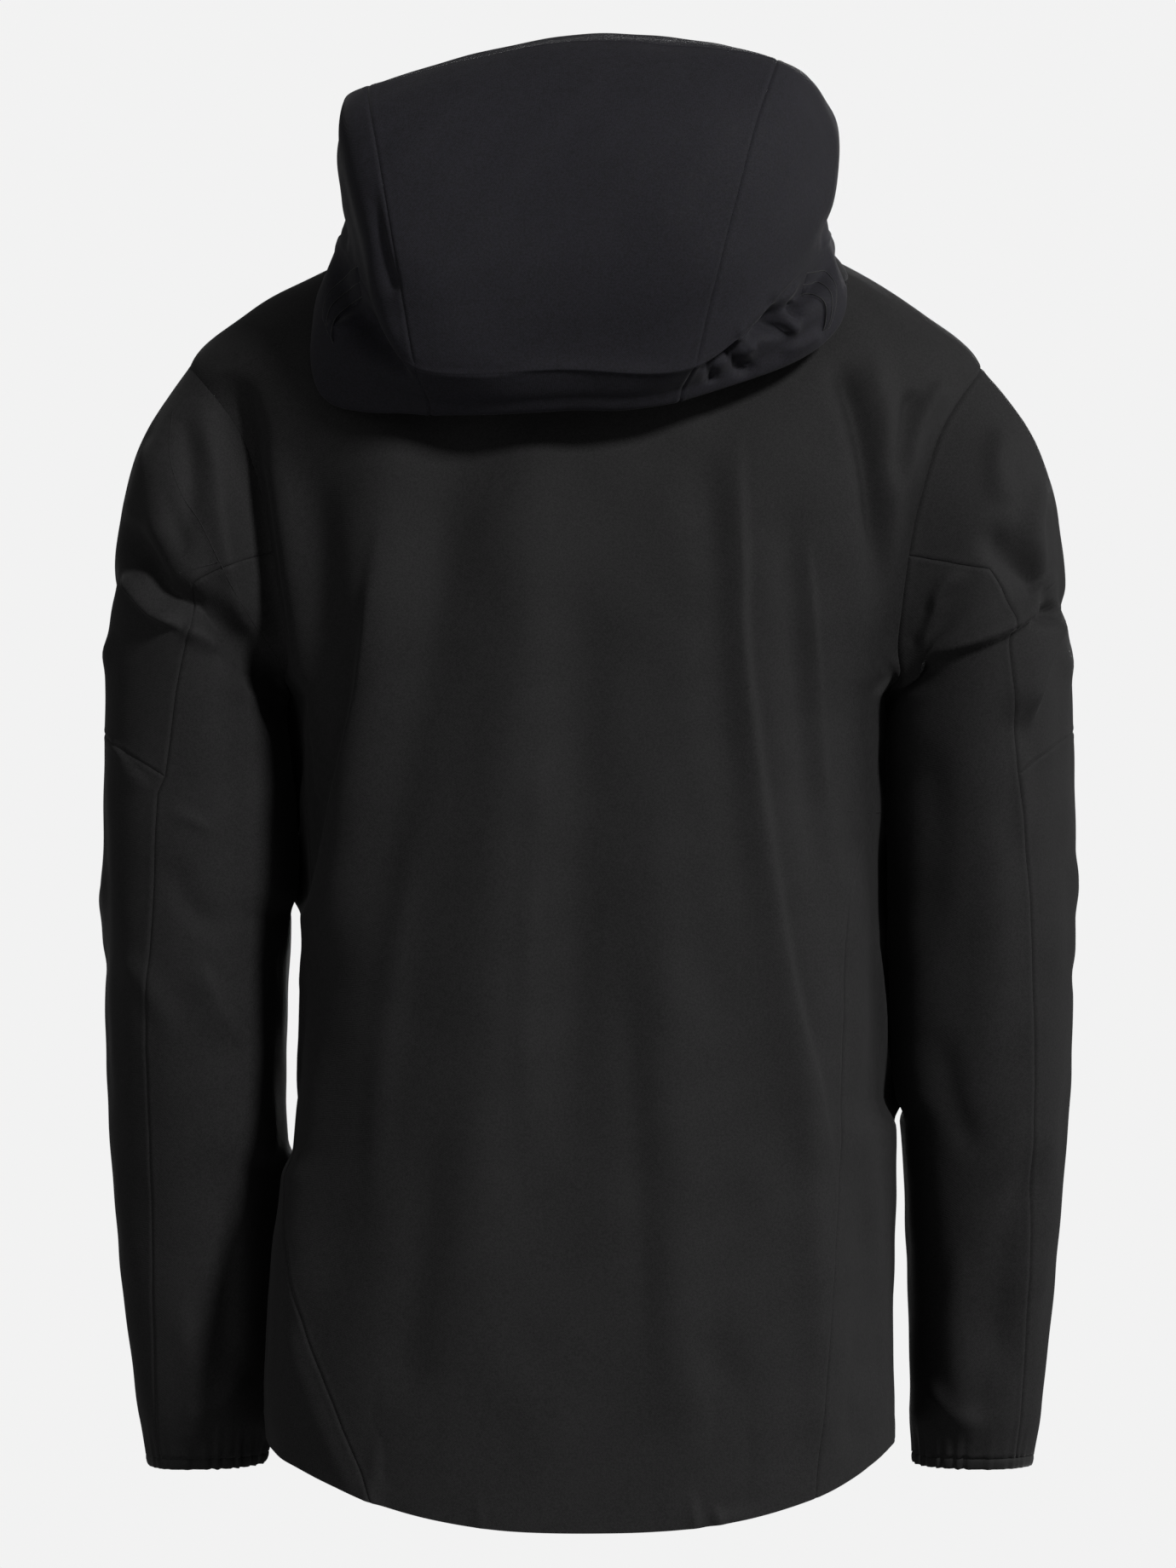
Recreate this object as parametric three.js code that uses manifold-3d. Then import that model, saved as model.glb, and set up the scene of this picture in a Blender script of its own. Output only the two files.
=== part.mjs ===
// A hooded hardshell jacket, standing in the shape it has when it is worn and zipped up, hood slumped back.
// Millimetres, +Z up, the wearer faces -Y, the wearer's left side is +X.
// The origin is where the hanger loop crosses the back neck seam.
import * as THREE from 'three';
import { mergeVertices } from 'three/addons/utils/BufferGeometryUtils.js';
import Module from 'manifold-3d';

const wasm = await Module();
wasm.setup();

// ---------------------------------------------------------------- driving dimensions

const FABRIC = 2; // thickness of a laminated shell panel, seam allowance included
const SEAM_GAP = 0.5; // clearance between neighbouring solids
const DEG = Math.PI / 180;

// The front opening is one straight line, so that its slider runs true: y = -(FRONT_Y + FRONT_LEAN * -z).
const FRONT_Y = 88;
const FRONT_LEAN = 0.085;
const frontDepth = (z) => FRONT_Y - FRONT_LEAN * z;

// Torso rings from hem to neck. a: half width, b: back depth, zs, zb, zf: height at side, back and front,
// n: how square the ring is.
const TORSO = [
  { a: 187, b: 150, zs: -727, zb: -767, zf: -714, n: 2.5 }, // 0 hem
  { a: 186, b: 150, zs: -650, zb: -668, zf: -640, n: 2.5 },
  { a: 181, b: 147, zs: -540, zb: -545, zf: -535, n: 2.5 },
  { a: 178, b: 143, zs: -420, zb: -420, zf: -420, n: 2.5 }, // 3 waist
  { a: 180, b: 139, zs: -335, zb: -335, zf: -338, n: 2.5 },
  { a: 187, b: 135, zs: -275, zb: -272, zf: -282, n: 2.5 }, // 5 underarm
  { a: 214, b: 128, zs: -198, zb: -195, zf: -215, n: 2.4 },
  { a: 237, b: 113, zs: -122, zb: -122, zf: -155, n: 2.3 },
  { a: 242, b: 94, zs: -74, zb: -74, zf: -112, n: 2.2 }, // 8 shoulder tip
  { a: 206, b: 78, zs: -42, zb: -38, zf: -84, n: 2.1 },
  { a: 150, b: 69, zs: -11, zb: -14, zf: -64, n: 2.0 },
  { a: 82, b: 62, zs: 14, zb: 0, zf: -48, n: 2.0 }, // 11 neck seam
];
const UNDERARM = 5; // ring index of the armhole's lowest point
const SHOULDER = 8; // and of its highest
const NECK = 11;
const ARMHOLE_SPREAD = 31 * DEG; // how far the armhole reaches round the body from the side

// Sleeve rings from armhole to wrist: outer (x, z), inner (x, z), centre y, half depth.
const SLEEVE = [
  { xo: 266, zo: -108, xi: 190.5, zi: -282, y: -1, ry: 80 },
  { xo: 282, zo: -150, xi: 193, zi: -296, y: -3, ry: 83 },
  { xo: 290, zo: -204, xi: 192.5, zi: -322, y: -5, ry: 82 },
  { xo: 296, zo: -297, xi: 190.5, zi: -372, y: -8, ry: 78 },
  { xo: 297.5, zo: -390, xi: 190, zi: -432, y: -12, ry: 74 },
  { xo: 295.5, zo: -482, xi: 191, zi: -502, y: -18, ry: 69 },
  { xo: 290.5, zo: -574, xi: 194, zi: -582, y: -29, ry: 63 },
  { xo: 283.5, zo: -662, xi: 197, zi: -664, y: -43, ry: 56 },
  { xo: 275, zo: -749, xi: 200, zi: -748, y: -58, ry: 48 }, // wrist
];

// Hood profiles [x, y, z] from the neck seam under, out and up to the face opening, one for each place
// round the neck from the back to the front.
const HOOD = [
  [
    [0, 67, 3], [0, 102, -50], [0, 135, -106], [0, 150, -101], [0, 163, -86],
    [0, 172, -20], [0, 150, 58], [0, 104, 106], [0, 52, 122],
  ],
  [
    [44, 58, 7], [60, 92, -42], [74, 129, -104], [77, 143, -99], [84, 156, -84],
    [97, 164, -20], [111, 142, 55], [118, 98, 95], [119, 48, 104],
  ],
  [
    [79, 29, 15], [106, 60, -18], [146, 92, -66], [153, 99, -56], [136, 112, -36],
    [140, 106, 14], [145, 88, 53], [145, 62, 75], [140, 38, 81],
  ],
  [
    [87, -7, 17], [116, 4, 12], [147, 18, -4], [156, 24, -4], [147, 30, 6],
    [144, 34, 20], [145, 34, 36], [145, 30, 51], [142, 22, 62],
  ],
  [
    [65, -66, -10], [82, -70, -6], [102, -68, -2], [111, -66, 4], [112, -63, 9],
    [112, -61, 14], [112, -58, 21], [110, -54, 28], [107, -49, 36],
  ],
  [
    [21, -94, -41], [27, -97, -38], [33, -98, -34], [36, -98, -30], [37, -97, -27],
    [37, -96, -23], [37, -95, -19], [36, -94, -14], [34, -93, -8],
  ],
];
const HOOD_SEAM = 1; // profile where the centre panel meets the side panel
const HOOD_TOP = 8; // profile point at the face opening
const BRIM_FROM = 7.3;

const COLLAR = {
  base: { a: 82, b: 62, zs: 14, zb: 0, zf: -48 },
  top: { a: 79, b: 66, zs: 60, zb: 62, zf: 56 },
};

const ZIP = {
  tapeInner: 0.6, // half the slit between the two tapes
  tapeOuter: 8.6,
  tapeThick: 0.9,
  coilWidth: 2.2,
  coilDeep: 2.5,
  sliderHalf: 5.2,
  sliderLong: 13,
  pullLong: 34,
};
const FRONT_EDGE = ZIP.tapeOuter + SEAM_GAP; // where the front panels and the collar end beside the zip
const FRONT_ZIP = { top: 55, bottom: -712 };
const HAND_ZIP = { top: [97, -445], bottom: [121, -610] }; // x and z of its two ends on the front panel
const CHEST_ZIP = { top: [72, -176], bottom: [72, -306] };
const POCKET_ZIP_HALF = 7;
const POCKET_ZIP_HOLE = POCKET_ZIP_HALF + 0.5;

const HEM_LOCK_ANGLE = -52 * DEG; // where the hem cord locks sit, measured round from the side to the front
const CORD_R = 1.1;
const LOOP = { y: 53.8, half: 22, top: 9, foot: -7, radius: 1.5 }; // the hanger loop's eye, open to the front

// ---------------------------------------------------------------- materials

const shell = new THREE.MeshStandardMaterial({ color: 0x1b1b1d, roughness: 0.82, metalness: 0 });
const trim = new THREE.MeshStandardMaterial({ color: 0x111112, roughness: 0.7, metalness: 0 });
const lining = new THREE.MeshStandardMaterial({ color: 0x242427, roughness: 0.9, metalness: 0 });
const zipTape = new THREE.MeshStandardMaterial({ color: 0x141415, roughness: 0.5, metalness: 0 });
const zipMetal = new THREE.MeshStandardMaterial({ color: 0x2a2a2c, roughness: 0.35, metalness: 0.9 });
const plastic = new THREE.MeshStandardMaterial({ color: 0x161617, roughness: 0.45, metalness: 0 });
const cordMaterial = new THREE.MeshStandardMaterial({ color: 0x18181a, roughness: 0.85, metalness: 0 });

// ---------------------------------------------------------------- curves through stations

const lerp = (p, q, t) => p + (q - p) * t;
const smooth = (t) => t * t * (3 - 2 * t);
const clamp01 = (t) => Math.min(1, Math.max(0, t));

function catmull(p0, p1, p2, p3, t) {
  const m1 = (p2 - p0) / 2;
  const m2 = (p3 - p1) / 2;
  const t2 = t * t;
  const t3 = t2 * t;
  return (2 * t3 - 3 * t2 + 1) * p1 + (t3 - 2 * t2 + t) * m1 + (3 * t2 - 2 * t3) * p2 + (t3 - t2) * m2;
}

// A value read at fractional index k from a list, through get(item).
function along(list, k, get) {
  const last = list.length - 1;
  const i = Math.min(last - 1, Math.max(0, Math.floor(k)));
  const at = (j) => {
    if (j < 0) return 2 * get(list[0]) - get(list[1]);
    if (j > last) return 2 * get(list[last]) - get(list[last - 1]);
    return get(list[j]);
  };
  return catmull(at(i - 1), at(i), at(i + 1), at(i + 2), k - i);
}

// Straight runs between the points of a short table of [index, value].
function ramp(table, k) {
  if (k <= table[0][0]) return table[0][1];
  for (let i = 1; i < table.length; i++) {
    const [k0, v0] = table[i - 1];
    const [k1, v1] = table[i];
    if (k <= k1) return lerp(v0, v1, (k - k0) / (k1 - k0));
  }
  return table[table.length - 1][1];
}

const spread = (from, to, n) => Array.from({ length: n + 1 }, (_, i) => lerp(from, to, i / n));

// ---------------------------------------------------------------- the jacket's surfaces

function ringPoint(ring, theta) {
  const c = Math.cos(theta);
  const s = Math.sin(theta);
  const power = 2 / ring.n;
  const depth = s > 0 ? ring.b : frontDepth(ring.zf);
  return new THREE.Vector3(
    ring.a * Math.sign(c) * Math.abs(c) ** power,
    depth * Math.sign(s) * Math.abs(s) ** power,
    ring.zs * c * c + (s > 0 ? ring.zb : ring.zf) * s * s,
  );
}

// theta runs from the wearer's left (0) to the back (90) and round; k is the ring index.
function torsoPoint(theta, k) {
  const ring = {};
  for (const key of ['a', 'b', 'zs', 'zb', 'zf', 'n']) ring[key] = along(TORSO, k, (r) => r[key]);
  return ringPoint(ring, theta);
}

// The armhole as a loop on the torso: phi 0 is the shoulder tip, 90 the back, 180 the underarm.
function armholePoint(phi) {
  const middle = (UNDERARM + SHOULDER) / 2;
  const half = (SHOULDER - UNDERARM) / 2;
  return torsoPoint(ARMHOLE_SPREAD * Math.sin(phi), middle + half * Math.cos(phi));
}

// The armhole's edge as an angle at ring k, a little outside the loop so that the sleeve fits inside it.
function armholeTheta(k) {
  const clearance = 1.012;
  const across = (2 * (k - UNDERARM)) / (SHOULDER - UNDERARM) - 1;
  return ARMHOLE_SPREAD * clearance * Math.sqrt(Math.max(0, 1 - (across / clearance) ** 2));
}

// Side seam behind the body, in degrees round from the side, and the shoulder seam above the armhole.
const SIDE_SEAM = [[0, 49], [1, 46], [2, 41], [3, 37], [3.5, 30], [4, 14], [4.5, 8], [4.95, 6]];
const ARM_TOP = SHOULDER + 0.012;
const shoulderTheta = (k) => -20 * DEG * smooth(clamp01((k - SHOULDER) / (NECK - SHOULDER)));

function panelEdge(k) {
  if (k < UNDERARM) return ramp(SIDE_SEAM, k) * DEG;
  return k < ARM_TOP ? armholeTheta(k) : shoulderTheta(k);
}

// Angle of the front edge beside the zip, at half width x.
function zipEdgeTheta(k, x) {
  const a = along(TORSO, k, (r) => r.a);
  const n = along(TORSO, k, (r) => r.n);
  return -Math.PI / 2 + Math.asin((x / a) ** (n / 2));
}

const TORSO_ROWS = [
  0, 0.6, 1.3, 2, 2.6, 3, 3.5, 4, 4.5, 4.95, 5.01, 5.1, 5.35, 5.8,
  6.4, 7, 7.5, 7.8, 7.95, 8.012, 8.5, 9, 9.6, 10.2, 11,
];

function hoodPoint(u, w) {
  const side = Math.sign(u) || 1;
  const at = (axis) => {
    const mirrored = [HOOD[1], ...HOOD].map((profile, i) => {
      const value = along(profile, w, (p) => p[axis]);
      return i === 0 && axis === 0 ? -value : value;
    });
    return along(mirrored, Math.abs(u) + 1, (value) => value);
  };
  return new THREE.Vector3(side * at(0), at(1), at(2));
}

function sleeveRing(ring, phi) {
  const c = Math.cos(phi);
  return new THREE.Vector3(
    (ring.xo + ring.xi) / 2 + (c * (ring.xo - ring.xi)) / 2,
    ring.y + Math.sin(phi) * ring.ry,
    (ring.zo + ring.zi) / 2 + (c * (ring.zo - ring.zi)) / 2,
  );
}

// v 0 is the armhole and SLEEVE.length the wrist; phi as on the armhole.
function sleevePoint(phi, v) {
  const points = [armholePoint(phi), ...SLEEVE.map((ring) => sleeveRing(ring, phi))];
  return new THREE.Vector3(...['x', 'y', 'z'].map((axis) => along(points, v, (p) => p[axis])));
}
const WRIST = SLEEVE.length;

function collarPoint(theta, h) {
  const ring = { n: 2 };
  for (const key of ['a', 'b', 'zs', 'zb', 'zf']) ring[key] = lerp(COLLAR.base[key], COLLAR.top[key], h);
  return ringPoint(ring, theta);
}

// The outward normal of surface(p, q), whose p then q run anticlockwise seen from outside if turn is 1.
function normalOf(surface, p, q, turn, step = 1e-3) {
  const dp = surface(p + step, q).sub(surface(p - step, q));
  const dq = surface(p, q + step).sub(surface(p, q - step));
  return dp.cross(dq).normalize().multiplyScalar(turn);
}

// ---------------------------------------------------------------- solids

// A closed solid between two grids of points with the same number of rows and columns.
function gridSolid(outer, inner) {
  const rows = outer.length;
  const cols = outer[0].length;
  const points = [...outer.flat(), ...inner.flat()];
  const at = (layer, i, j) => layer * rows * cols + i * cols + j;
  const index = [];
  const quad = (a, b, c, d) => index.push(a, b, c, a, c, d);
  for (let i = 0; i < rows - 1; i++) {
    for (let j = 0; j < cols - 1; j++) {
      quad(at(0, i, j), at(0, i, j + 1), at(0, i + 1, j + 1), at(0, i + 1, j));
      quad(at(1, i, j), at(1, i + 1, j), at(1, i + 1, j + 1), at(1, i, j + 1));
    }
    quad(at(0, i, 0), at(0, i + 1, 0), at(1, i + 1, 0), at(1, i, 0));
    quad(at(0, i + 1, cols - 1), at(0, i, cols - 1), at(1, i, cols - 1), at(1, i + 1, cols - 1));
  }
  for (let j = 0; j < cols - 1; j++) {
    quad(at(0, 0, j + 1), at(0, 0, j), at(1, 0, j), at(1, 0, j + 1));
    quad(at(0, rows - 1, j), at(0, rows - 1, j + 1), at(1, rows - 1, j + 1), at(1, rows - 1, j));
  }
  const geometry = new THREE.BufferGeometry().setFromPoints(points);
  geometry.setIndex(index);
  return facingOut(geometry);
}

function facingOut(geometry) {
  const p = geometry.attributes.position;
  const index = geometry.index;
  const [a, b, c] = [new THREE.Vector3(), new THREE.Vector3(), new THREE.Vector3()];
  let volume = 0;
  for (let i = 0; i < index.count; i += 3) {
    a.fromBufferAttribute(p, index.getX(i));
    b.fromBufferAttribute(p, index.getX(i + 1));
    c.fromBufferAttribute(p, index.getX(i + 2));
    volume += a.dot(b.cross(c));
  }
  if (volume < 0) {
    for (let i = 0; i < index.count; i += 3) {
      const swap = index.getX(i);
      index.setX(i, index.getX(i + 1));
      index.setX(i + 1, swap);
    }
  }
  geometry.computeVertexNormals();
  return geometry;
}

// A sheet of fabric on surface(p, q): place(row value, column share) gives [p, q]; it fills the depths
// from outside to inside, measured inwards from the surface.
function sheet(surface, turn, rowValues, columns, place, outside = 0, inside = FABRIC) {
  const grids = [outside, inside].map((depth) =>
    rowValues.map((row) =>
      spread(0, 1, columns).map((share) => {
        const [p, q] = place(row, share);
        return surface(p, q).addScaledVector(normalOf(surface, p, q, turn), -depth);
      }),
    ),
  );
  return gridSolid(...grids);
}

function toManifold(geometry) {
  const bare = new THREE.BufferGeometry().setAttribute('position', geometry.getAttribute('position').clone());
  if (geometry.index) bare.setIndex(geometry.index.clone());
  const merged = mergeVertices(bare, 1e-4);
  return new wasm.Manifold(
    new wasm.Mesh({
      numProp: 3,
      vertProperties: new Float32Array(merged.attributes.position.array),
      triVerts: new Uint32Array(merged.index.array),
    }),
  );
}

function fromManifold(solid) {
  const mesh = solid.getMesh();
  const positions = new Float32Array(mesh.numVert * 3);
  for (let i = 0; i < mesh.numVert; i++) {
    positions.set(mesh.vertProperties.subarray(i * mesh.numProp, i * mesh.numProp + 3), i * 3);
  }
  const geometry = new THREE.BufferGeometry();
  geometry.setAttribute('position', new THREE.BufferAttribute(positions, 3));
  geometry.setIndex(new THREE.BufferAttribute(mesh.triVerts, 1));
  geometry.computeVertexNormals();
  return geometry;
}

const cut = (geometry, ...tools) =>
  fromManifold(tools.reduce((solid, tool) => solid.subtract(toManifold(tool)), toManifold(geometry)));
const join = (geometry, ...others) =>
  fromManifold(others.reduce((solid, other) => solid.add(toManifold(other)), toManifold(geometry)));

// A box between two corners.
function box(x0, x1, y0, y1, z0, z1) {
  const geometry = new THREE.BoxGeometry(x1 - x0, y1 - y0, z1 - z0);
  return geometry.translate((x0 + x1) / 2, (y0 + y1) / 2, (z0 + z1) / 2);
}

// An outline in local (x, y) pushed along z.
function prism(points, z0, z1) {
  const shape = new THREE.Shape(points.map(([x, y]) => new THREE.Vector2(x, y)));
  const geometry = new THREE.ExtrudeGeometry(shape, { depth: z1 - z0, bevelEnabled: false });
  return geometry.translate(0, 0, z0);
}

// A round cord along a list of points.
function tube(points, radius, steps, sides = 8) {
  const section = new THREE.Shape(
    spread(0, 2 * Math.PI, sides)
      .slice(0, sides)
      .map((angle) => new THREE.Vector2(radius * Math.cos(angle), radius * Math.sin(angle))),
  );
  const path = new THREE.CatmullRomCurve3(points);
  return new THREE.ExtrudeGeometry(section, { steps, extrudePath: path, bevelEnabled: false });
}

const jacket = new THREE.Group();
const body = new THREE.Group(); // holds every node; its z axis runs up the middle of the body
body.position.y = -LOOP.y;
jacket.add(body);

function add(name, geometry, material) {
  const mesh = new THREE.Mesh(geometry, material);
  mesh.name = name;
  body.add(mesh);
  return mesh;
}

// The same geometry on the wearer's left and, mirrored, on the right.
function addPair(name, geometry, material) {
  add(name + '_left', geometry, material);
  add(name + '_right', geometry, material).scale.x = -1;
}

// ---------------------------------------------------------------- zips

// A frame on the front panel: local +z up the zip, local -y out of the fabric, origin midway along.
function zipFrame(top, bottom, lift) {
  const middle = top.clone().add(bottom).multiplyScalar(0.5);
  const up = top.clone().sub(bottom).normalize();
  const outward = lift.clone().addScaledVector(up, -lift.dot(up)).normalize();
  const inward = outward.clone().negate();
  const across = new THREE.Vector3().crossVectors(inward, up);
  const matrix = new THREE.Matrix4().makeBasis(across, inward, up).setPosition(middle);
  return { matrix, outward, length: top.distanceTo(bottom) };
}

const frontZip = zipFrame(
  new THREE.Vector3(0, -frontDepth(FRONT_ZIP.top), FRONT_ZIP.top),
  new THREE.Vector3(0, -frontDepth(FRONT_ZIP.bottom), FRONT_ZIP.bottom),
  new THREE.Vector3(0, -1, 0),
);

// Finds the point of the torso's front at a given x and z.
function frontPoint(x, z) {
  let low = 0;
  let high = SHOULDER;
  let theta = 0;
  for (let i = 0; i < 40; i++) {
    const k = (low + high) / 2;
    const a = along(TORSO, k, (r) => r.a);
    const n = along(TORSO, k, (r) => r.n);
    theta = -Math.acos(Math.min(1, (x / a) ** (n / 2)));
    if (torsoPoint(theta, k).z < z) low = k;
    else high = k;
  }
  return { theta, k: low, point: torsoPoint(theta, low) };
}

function pocketFrame({ top, bottom }) {
  const [a, b] = [frontPoint(...top), frontPoint(...bottom)];
  const middle = frontPoint((top[0] + bottom[0]) / 2, (top[1] + bottom[1]) / 2);
  const frame = zipFrame(a.point, b.point, normalOf(torsoPoint, middle.theta, middle.k, 1));
  const proud = middle.point.clone().sub(new THREE.Vector3().setFromMatrixPosition(frame.matrix));
  const lift = Math.max(0, proud.dot(frame.outward)) / 2 + 0.6;
  frame.matrix.setPosition(
    new THREE.Vector3().setFromMatrixPosition(frame.matrix).addScaledVector(frame.outward, lift),
  );
  return frame;
}
const handZip = pocketFrame(HAND_ZIP);
const chestZip = pocketFrame(CHEST_ZIP);

// One half of the front zip: tape with the coil bead on its inner side.
function tapeHalf(length) {
  const { tapeInner: i, tapeOuter: o, tapeThick: t, coilWidth: w, coilDeep: d } = ZIP;
  return prism([[i, -t / 2], [i, d - t / 2], [i + w, d - t / 2], [i + w, t / 2], [o, t / 2], [o, -t / 2]],
    -length / 2, length / 2);
}

// A pocket zip: a plate with a slit for the slider's post, and the coil under it.
function pocketZip(length) {
  const { tapeInner: i, tapeThick: t, coilWidth: w, coilDeep: d } = ZIP;
  const half = POCKET_ZIP_HALF;
  const end = 5;
  const plate = box(-half, half, -t / 2, t / 2, -length / 2, length / 2);
  const coil = box(-i - w, i + w, 0, d - t / 2, -length / 2 + end, length / 2 - end);
  return cut(join(plate, coil), box(-i, i, -9, 9, -length / 2 + end, length / 2 - end));
}

// A reverse-coil slider round the local origin: outer plate, post, inner plate with flanges, and a bail.
function slider() {
  const { sliderHalf: h, sliderLong: l, coilWidth: w, tapeInner: i } = ZIP;
  const plate = prism([[-h, -l / 2 + 2], [-h + 2, -l / 2], [h - 2, -l / 2], [h, -l / 2 + 2],
    [h, l / 2 - 3], [h - 2.4, l / 2], [-h + 2.4, l / 2], [-h, l / 2 - 3]], 0, 1.4);
  plate.rotateX(Math.PI / 2); // its outline now lies in x and z, thickness along -y
  const outer = plate.clone().translate(0, -0.85, 0);
  const inner = plate.clone().translate(0, 4, 0);
  const post = box(-0.3, 0.3, -1, 3, -2.5, 2.5);
  const flange = (side) => box(...[i + w + 0.4, h].map((x) => x * side).sort((p, q) => p - q), 0.9, 3, -5, 5);
  const bailOutline = new THREE.Shape();
  bailOutline.moveTo(-4.4, -2.1);
  bailOutline.lineTo(-4.4, -4.2);
  bailOutline.absarc(-2.4, -4.2, 2, Math.PI, 1.5 * Math.PI);
  bailOutline.lineTo(2.4, -6.2);
  bailOutline.absarc(2.4, -4.2, 2, 1.5 * Math.PI, 2 * Math.PI);
  bailOutline.lineTo(4.4, -2.1);
  bailOutline.lineTo(3, -2.1);
  bailOutline.lineTo(3, -4.9);
  bailOutline.lineTo(-3, -4.9);
  bailOutline.lineTo(-3, -2.1);
  const bail = new THREE.ExtrudeGeometry(bailOutline, { depth: 2, bevelEnabled: false, curveSegments: 3 });
  bail.translate(0, 0, -1); // outline in (z, y), width along x once turned
  bail.applyMatrix4(new THREE.Matrix4().makeBasis(
    new THREE.Vector3(0, 0, 1), new THREE.Vector3(0, 1, 0), new THREE.Vector3(-1, 0, 0)));
  return join(outer, post, inner, flange(1), flange(-1), bail);
}
const PULL_HINGE_Y = -3.6; // the hinge line inside the bail, in front of the tape

// A pull hanging from the bail: cross pin, two arms and a tab, round the hinge line.
function pull() {
  const pin = new THREE.CylinderGeometry(0.75, 0.75, 4.6, 8).rotateZ(Math.PI / 2);
  const arm = (side) => box(...[1.4, 2.4].map((x) => x * side).sort((p, q) => p - q), -0.75, 0.75, -7.5, 0.8);
  const tab = prism([[-2.4, -6.6], [2.4, -6.6], [2.9, -10], [2.9, -ZIP.pullLong + 3], [1.4, -ZIP.pullLong],
    [-1.4, -ZIP.pullLong], [-2.9, -ZIP.pullLong + 3], [-2.9, -10]], -0.75, 0.75);
  tab.rotateX(Math.PI / 2);
  return join(pin, arm(1), arm(-1), tab);
}

// Slider and pull at a height along a zip's frame.
function addSlider(name, frame, height, mirrored = false) {
  for (const [part, geometry] of [['slider', slider()], ['pull', pull()]]) {
    const placed = geometry.clone().translate(0, part === 'pull' ? PULL_HINGE_Y : 0, height);
    placed.applyMatrix4(frame.matrix);
    add(`${name}_${part}`, placed, part === 'pull' ? plastic : zipMetal).scale.x = mirrored ? -1 : 1;
  }
}

// The hole that a pocket zip needs in the panel.
function zipHole(frame) {
  const h = POCKET_ZIP_HOLE;
  const l = frame.length / 2 + 0.5;
  return box(-h, h, -14, 14, -l, l).applyMatrix4(frame.matrix);
}

// ---------------------------------------------------------------- shell panels

function backPanel() {
  const gap = 0.1 * DEG;
  return sheet(torsoPoint, 1, TORSO_ROWS, 16, (k, share) => {
    const edge = panelEdge(k) + gap;
    return [lerp(edge, Math.PI - edge, share), k];
  });
}

function sidePanel() {
  const gap = 0.1 * DEG;
  const rows = TORSO_ROWS.filter((k) => k < UNDERARM);
  return sheet(torsoPoint, 1, rows, 10, (k, share) => {
    const edge = panelEdge(k) - gap;
    return [lerp(-edge, edge, share), k];
  });
}

function frontPanel(...holes) {
  const gap = 0.1 * DEG;
  const panel = sheet(torsoPoint, 1, TORSO_ROWS, 8, (k, share) => {
    const side = k < ARM_TOP ? -panelEdge(k) : panelEdge(k);
    return [lerp(zipEdgeTheta(k, FRONT_EDGE), side - gap, share), k];
  });
  return holes.length ? cut(panel, ...holes) : panel;
}

add('back_panel', backPanel(), shell);
addPair('side_panel', sidePanel(), shell);
add('front_panel_left', frontPanel(zipHole(handZip), zipHole(chestZip)), shell);
add('front_panel_right', frontPanel(zipHole(handZip)), shell).scale.x = -1;

// Sleeve seams as angles round the sleeve: the back seam starts at the armhole above the underarm.
const BACK_SLEEVE_SEAM = [[0, 97], [1.2, 80], [2.4, 64], [5, 58], [7, 52], [WRIST, 44]];
const FRONT_SLEEVE_SEAM = [[0, 215], [2, 232], [WRIST, 250]];
const ELBOW = 4; // the elbow seam, across the outside of the sleeve
const UPPER_ROWS = [0.004, 0.3, 0.7, 1.2, 1.8, 2.4, 3, 3.5, ELBOW - 0.005];
const FOREARM_ROWS = [ELBOW + 0.005, 4.6, 5.3, 6.2, 7, 8, 8.9];

function sleevePanel(rows, columns, from, to) {
  const gap = 0.25 * DEG;
  return sheet(sleevePoint, -1, rows, columns, (v, share) => [
    lerp(ramp(from, v) * DEG + gap, ramp(to, v) * DEG - gap, share),
    v,
  ]);
}
const allRows = [...UPPER_ROWS, ...FOREARM_ROWS];
addPair('sleeve_under', sleevePanel(allRows, 10, BACK_SLEEVE_SEAM, FRONT_SLEEVE_SEAM), shell);
const aroundFront = BACK_SLEEVE_SEAM.map(([v, angle]) => [v, angle + 360]);
addPair('sleeve_upper', sleevePanel(UPPER_ROWS, 13, FRONT_SLEEVE_SEAM, aroundFront), shell);
addPair('sleeve_forearm', sleevePanel(FOREARM_ROWS, 13, FRONT_SLEEVE_SEAM, aroundFront), shell);

// Elastic binding round the wrist, just past the end of the two sleeve panels.
function cuffBinding() {
  const turns = 26;
  const rings = [[8.915, -0.6], [8.915, 2.6], [WRIST, 2.6], [WRIST, -0.6]];
  const positions = [];
  const index = [];
  for (let i = 0; i < turns; i++) {
    const phi = (i / turns) * 2 * Math.PI;
    for (const [v, depth] of rings) {
      const p = sleevePoint(phi, v).addScaledVector(normalOf(sleevePoint, phi, v, -1), -depth);
      positions.push(p);
    }
    for (let j = 0; j < 4; j++) {
      const [a, b] = [i * 4 + j, i * 4 + ((j + 1) % 4)];
      const [c, d] = [((i + 1) % turns) * 4 + j, ((i + 1) % turns) * 4 + ((j + 1) % 4)];
      index.push(a, b, d, a, d, c);
    }
  }
  const geometry = new THREE.BufferGeometry().setFromPoints(positions);
  geometry.setIndex(index);
  return facingOut(geometry);
}
addPair('cuff_binding', cuffBinding(), trim);

// ---------------------------------------------------------------- collar and hood

const COLLAR_FROM = zipEdgeTheta(NECK, FRONT_EDGE);

function collar() {
  const rows = spread(0.012, 1, 4);
  return sheet(collarPoint, 1, rows, 28, (h, share) => [
    lerp(COLLAR_FROM, Math.PI - COLLAR_FROM, share),
    h,
  ]);
}
add('collar', collar(), shell);

const HOOD_ROWS = [0, 0.7, 1.4, 1.8, 2.2, 2.7, 3.3, 3.7, 4, 4.4, 5, 5.7, 6.4];
const HOOD_GAP = 0.006;

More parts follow.
